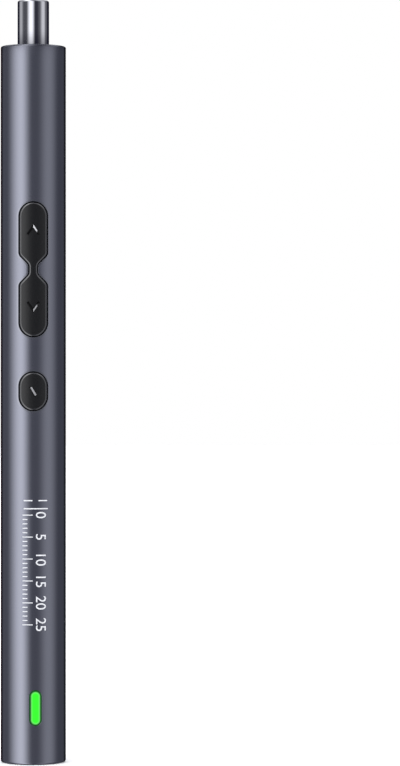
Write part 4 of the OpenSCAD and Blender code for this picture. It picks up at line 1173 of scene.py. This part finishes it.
# %% A table of finishes
# name: dark colour, light colour, roughness, and whatever else differs
METAL = {"metallic": 1.0}
RECIPES = {
    "tail_plastic": ((0.012, 0.012, 0.014), (0.024, 0.024, 0.027), (0.48, 0.60),
                     {"grain": 2600.0, "bump": 0.25}),
    "port_steel": ((0.50, 0.50, 0.52), (0.64, 0.64, 0.66), (0.20, 0.32), {"stretch": (1, 1, 0.03), **METAL}),
    "port_resin": ((0.010, 0.010, 0.011), (0.020, 0.020, 0.022), (0.36, 0.46), {"grain": 1800.0}),
    "gold_plate": ((0.74, 0.50, 0.17), (0.90, 0.66, 0.27), (0.18, 0.28), {"grain": 1500.0, **METAL}),
    "sintered_bronze": ((0.36, 0.19, 0.075), (0.62, 0.36, 0.16), (0.34, 0.52),
                        {"pattern": pores(0.12), "bump": 0.4, **METAL}),
    "turned_steel": ((0.38, 0.38, 0.40), (0.54, 0.54, 0.56), (0.22, 0.34),
                     {"pattern": bands(0.09, 0.2), **METAL}),
    "ground_steel": ((0.52, 0.52, 0.54), (0.66, 0.66, 0.68), (0.14, 0.22),
                     {"stretch": (1, 1, 0.05), "bump": 0.04, **METAL}),
    "sintered_steel": ((0.20, 0.20, 0.215), (0.36, 0.36, 0.38), (0.34, 0.48),
                       {"pattern": pores(0.10), "bump": 0.3, **METAL}),
    "gear_steel": ((0.30, 0.295, 0.29), (0.46, 0.455, 0.45), (0.26, 0.38), {"stretch": (1, 1, 0.1), **METAL}),
    "phosphated_steel": ((0.055, 0.055, 0.060), (0.115, 0.115, 0.125), (0.42, 0.56),
                         {"pattern": pores(0.07), **METAL}),
    "blackened_steel": ((0.020, 0.020, 0.024), (0.052, 0.052, 0.060), (0.28, 0.40),
                        {"grain": 1400.0, **METAL}),
    "spring_steel": ((0.10, 0.11, 0.15), (0.20, 0.22, 0.28), (0.22, 0.32), {"grain": 800.0, **METAL}),
    "pinion_brass": ((0.56, 0.36, 0.11), (0.74, 0.52, 0.20), (0.22, 0.34), {"stretch": (1, 1, 0.1), **METAL}),
    "board_resist": ((0, 0, 0), (0, 0, 0), (0.26, 0.36), {"colour": traces, "bump": 0.05}),
    "chip_resin": ((0.010, 0.010, 0.011), (0.030, 0.030, 0.032), (0.50, 0.64),
                   {"grain": 2400.0, "bump": 0.2}),
    "lamp_resin": ((0.55, 0.72, 0.50), (0.72, 0.88, 0.62), (0.16, 0.24),
                   {"Emission_Color": (0.03, 0.95, 0.03, 1), "Emission_Strength": 0.6}),
    "chassis_nylon": ((0.34, 0.345, 0.36), (0.45, 0.455, 0.47), (0.44, 0.56),
                      {"stretch": (1, 1, 0.15), "bump": 0.18}),
    "cover_nylon": ((0.060, 0.062, 0.070), (0.100, 0.103, 0.115), (0.46, 0.58),
                    {"stretch": (1, 1, 0.15), "bump": 0.18}),
    "cell_film": ((0, 0, 0), (0, 0, 0), (0.22, 0.32), {"colour": sleeve, "grain": 300.0, "bump": 0.1}),
    "tab_nickel": ((0.50, 0.48, 0.44), (0.66, 0.64, 0.59), (0.28, 0.40), {"grain": 700.0, **METAL}),
    "ribbon_film": ((0, 0, 0), (0, 0, 0), (0.24, 0.34), {"colour": film_tracks, "bump": 0.06}),
    "switch_resin": ((0.30, 0.30, 0.31), (0.42, 0.42, 0.43), (0.38, 0.50), {"grain": 1500.0}),
    "stem_acetal": ((0.60, 0.60, 0.58), (0.74, 0.74, 0.72), (0.34, 0.44), {"grain": 1100.0}),
    "zinc_steel": ((0.36, 0.37, 0.39), (0.52, 0.53, 0.56), (0.24, 0.38),
                   {"pattern": pores(1.4), "bump": 0.03, **METAL}),
    "glass_nylon": ((0.010, 0.010, 0.011), (0.034, 0.034, 0.036), (0.46, 0.60),
                    {"stretch": (1, 6, 1), "bump": 0.25}),
    "ferrite": ((0.024, 0.023, 0.025), (0.060, 0.058, 0.060), (0.50, 0.64),
                {"pattern": pores(0.06), "bump": 0.3}),
    "magnet_nickel": ((0.56, 0.56, 0.57), (0.68, 0.68, 0.69), (0.12, 0.22),
                      {"grain": 500.0, "bump": 0.04, **METAL}),
    "carbon_copper": ((0.060, 0.038, 0.030), (0.200, 0.110, 0.075), (0.44, 0.58),
                      {"pattern": pores(0.05), **METAL}),
    "laminations": ((0.14, 0.14, 0.145), (0.36, 0.36, 0.37), (0.32, 0.46),
                    {"pattern": bands(0.35), "bump": 0.5, **METAL}),
    "wire_turns": ((0.34, 0.100, 0.028), (0.78, 0.330, 0.130), (0.20, 0.34),
                   {"pattern": bands(0.28), "bump": 0.6, **METAL}),
    "segment_copper": ((0.52, 0.240, 0.130), (0.74, 0.400, 0.230), (0.20, 0.34),
                       {"pattern": bands(0.06, 0.2), **METAL}),
    "lead_sleeve": ((0, 0, 0), (0, 0, 0), (0.34, 0.46), {"colour": two_leads, "grain": 1200.0}),
}
for name, (dark, light, rough, other) in RECIPES.items():
    finish(name, dark, light, rough=rough, **other)
print("finishes in the table:", len(RECIPES))

# %% Inner parts wear them
WORN_BY = {
    "tail_plastic": "tail_cap", "port_steel": "usb_shell", "port_resin": "usb_tongue",
    "gold_plate": "usb_contacts",
    "sintered_bronze": "spindle_bush motor_bushes", "turned_steel": "thrust_washer gearbox_plate",
    "ground_steel": "output_pins carrier_2_pins carrier_1_pins motor_shaft",
    "sintered_steel": "output_carrier carrier_2 carrier_1", "phosphated_steel": "ring_gear",
    "gear_steel": "planet_1a planet_1b planet_1c planet_2a planet_2b planet_2c planet_3a planet_3b planet_3c",
    "pinion_brass": "motor_pinion", "blackened_steel": "board_screws motor_screws",
    "spring_steel": "retaining_clip",
    "board_resist": "charge_board control_board", "chip_resin": "charge_parts control_parts",
    "lamp_resin": "status_led", "chassis_nylon": "chassis", "cover_nylon": "battery_cover",
    "cell_film": "battery_cell", "tab_nickel": "battery_tabs", "ribbon_film": "link_ribbon",
    "switch_resin": "switch_bodies", "stem_acetal": "forward_stem reverse_stem mode_stem",
    "zinc_steel": "motor_can",
    "glass_nylon": "motor_end_cap", "ferrite": "motor_magnets", "magnet_nickel": "socket_magnet",
    "carbon_copper": "motor_brushes", "laminations": "armature", "wire_turns": "windings",
    "segment_copper": "commutator", "lead_sleeve": "motor_leads",
}
for material, names in WORN_BY.items():
    dress(names, material)
bare = [n for n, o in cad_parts.items() if not o.hide_render and len(o.data.materials) == 0]
print("inner parts dressed:", sum(len(n.split()) for n in WORN_BY.values()), "left bare:", bare)

# %% [markdown]
# ## A printed scale
# Tools like this carry a pale print near the tail. Here it is a plain ruler: a tick for each millimetre, a
# long one each fifth, and numbers turned along the tool. The ticks repeat by a rule, so Geometry Nodes make
# them: one small bar is placed on a line of points, stretched by its place in the row, and bent onto the
# tube.

# %% Ticks by Geometry Nodes
ink, ink_paint, ink_shader = new_material("printed_ink")
ticks_tree = bpy.data.node_groups.new("scale_ticks", "GeometryNodeTree")
knobs = {}
for title, kind in (
        ("Tick count", "Int"), ("Spacing", "Float"), ("Short tick", "Float"), ("Long tick", "Float"),
        ("Line width", "Float"), ("Tube radius", "Float"), ("Left edge", "Float"), ("Top", "Float")):
    knobs[title] = ticks_tree.interface.new_socket(title, in_out="INPUT", socket_type="NodeSocket" + kind)
ticks_tree.interface.new_socket("Geometry", in_out="OUTPUT", socket_type="NodeSocketGeometry")
press = Painter(ticks_tree)
inputs = press.node("NodeGroupInput")
knob = {title: Wire(ticks_tree, inputs.outputs[title]) for title in knobs}


def join_xyz(x, y, z):
    return press.out("ShaderNodeCombineXYZ", i0=x, i1=y, i2=z)


bar_box = press.out("GeometryNodeMeshCube", Size=join_xyz(1.0, 0.00002, knob["Line width"]), i1=9)
bar_left = press.out("GeometryNodeTransform", Geometry=bar_box, Translation=(0.5, 0, 0))
first_place = join_xyz(knob["Left edge"], 0.0, knob["Top"])
next_place = join_xyz(0.0, 0.0, 0 - knob["Spacing"])
row = press.out("GeometryNodeMeshLine", Count=knob["Tick count"], Start_Location=first_place,
                Offset=next_place)
fifth = press.maths("LESS_THAN", press.maths("MODULO", press.out("GeometryNodeInputIndex"), 5.0), 0.5)
stretch = knob["Short tick"] + fifth * (knob["Long tick"] - knob["Short tick"])
placed = press.out("GeometryNodeInstanceOnPoints", Points=row, Instance=bar_left,
                   Scale=join_xyz(stretch, 1.0, 1.0))
single = press.out("GeometryNodeRealizeInstances", Geometry=placed)
x, y, z = press.split(press.out("GeometryNodeInputPosition"))
depth = press.maths("SQRT", knob["Tube radius"] * knob["Tube radius"] - x * x)
bent = press.out("GeometryNodeSetPosition", Geometry=single, Position=join_xyz(x, y - depth, z))
inked = press.out("GeometryNodeSetMaterial", Geometry=bent, Material=ink)
press.node("NodeGroupOutput", i0=inked)
print("nodes in the tick tree:", len(ticks_tree.nodes))

# %% [markdown]
# The same tree draws everything that is straight: the row of ticks, one long line above them, and two
# dashes. Only its inputs differ.

# %% Ticks, line and dashes
SCALE_TOP, SCALE_LEFT, TICKS = 57.0, -2.45, 26
PRINT_R = BODY_R + 0.006
PRINT_LEFT, LINE_WIDTH = -2.2, 0.26


def grown_by(tree, sockets, values, name):
    """Runs a Geometry Nodes tree with these values and gives the plain mesh that it makes."""
    host = new_object(name + "_host", bpy.data.meshes.new(name + "_host"))
    modifier = host.modifiers.new(name, "NODES")
    modifier.node_group = tree
    for title, value in values.items():
        modifier[sockets[title].identifier] = value
    ready = host.evaluated_get(bpy.context.evaluated_depsgraph_get())
    mesh = bpy.data.meshes.new_from_object(ready)
    mesh.name = name
    bpy.data.objects.remove(host)
    return mesh


def printed(name, count, short, long, width, left, top):
    """A row of ticks a millimetre apart that starts at the top, with every fifth one long."""
    return new_object(name, grown_by(ticks_tree, knobs, {
        "Tick count": count, "Spacing": 1.0 * MM, "Short tick": short * MM, "Long tick": long * MM,
        "Line width": width * MM, "Tube radius": PRINT_R * MM, "Left edge": left * MM,
        "Top": top * MM}, name))


ticks = printed("scale_ticks", TICKS, 1.1, 2.3, 0.2, SCALE_LEFT, SCALE_TOP)
lines = printed("scale_lines", 1, 5.5, 5.5, LINE_WIDTH, PRINT_LEFT, 58.45)
dashes = [printed("scale_dash_" + name, 1, 2.0, 2.0, LINE_WIDTH, left, 60.3)
          for left, name in ((PRINT_LEFT, "left"), (1.15, "right"))]
print("tick faces:", len(ticks.data.polygons), "line faces:", len(lines.data.polygons))

# %% [markdown]
# The numbers are text made into a mesh, cut into narrow slices so that it bends with the tube, and put on
# it.

# %% Numbers along the scale
CAP_HEIGHT = 0.72  # of the font's size
SLICES = 12


def bent_print(name, words, height, x, z):
    """Text that runs down the tube from height z, its letters' tops to the right, on the curved surface."""
    curve = bpy.data.curves.new(name, "FONT")
    curve.body = words
    curve.size = height * MM / CAP_HEIGHT
    curve.align_x = "CENTER"
    curve.extrude = 0.00001
    host = new_object(name + "_host", curve)
    flat = bpy.data.meshes.new_from_object(host.evaluated_get(bpy.context.evaluated_depsgraph_get()))
    bpy.data.objects.remove(host)
    work = bmesh.new()
    work.from_mesh(flat)
    bmesh.ops.remove_doubles(work, verts=work.verts, dist=1e-8)
    top = max(v.co.y for v in work.verts)
    for step in range(1, SLICES):
        geometry = work.verts[:] + work.edges[:] + work.faces[:]
        bmesh.ops.bisect_plane(work, geom=geometry, plane_co=(0, top * step / SLICES, 0), plane_no=(0, 1, 0))
    for v in work.verts:
        across, along, raised = x * MM + v.co.y, z * MM - v.co.x, PRINT_R * MM + v.co.z
        v.co = (across, -math.sqrt(raised ** 2 - across ** 2), along)
    bmesh.ops.triangulate(work, faces=work.faces)
    bmesh.ops.recalc_face_normals(work, faces=work.faces)
    mesh = bpy.data.meshes.new(name)
    work.to_mesh(mesh)
    work.free()
    mesh.materials.append(ink)
    return new_object(name, mesh)


numbers = [bent_print("scale_number_%d" % n, str(n), 2.35, 0.62, SCALE_TOP - n) for n in range(0, TICKS, 5)]
print("numbers:", len(numbers))

# %% Ink for the print, and where it rides
speck = ink_paint.out("ShaderNodeTexNoise", Vector=ink_paint.place(), Scale=3500.0, Detail=3.0)
pale = mixed_colour(ink_paint, speck, (0.66, 0.67, 0.70), (0.86, 0.87, 0.90))
ink_paint.plug(ink_shader, Base_Color=pale, Roughness=speck * 0.2 + 0.45)
for piece in [ticks, lines, *dashes, *numbers]:
    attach(piece, "shell")
print("printed pieces:", 2 + len(dashes) + len(numbers))
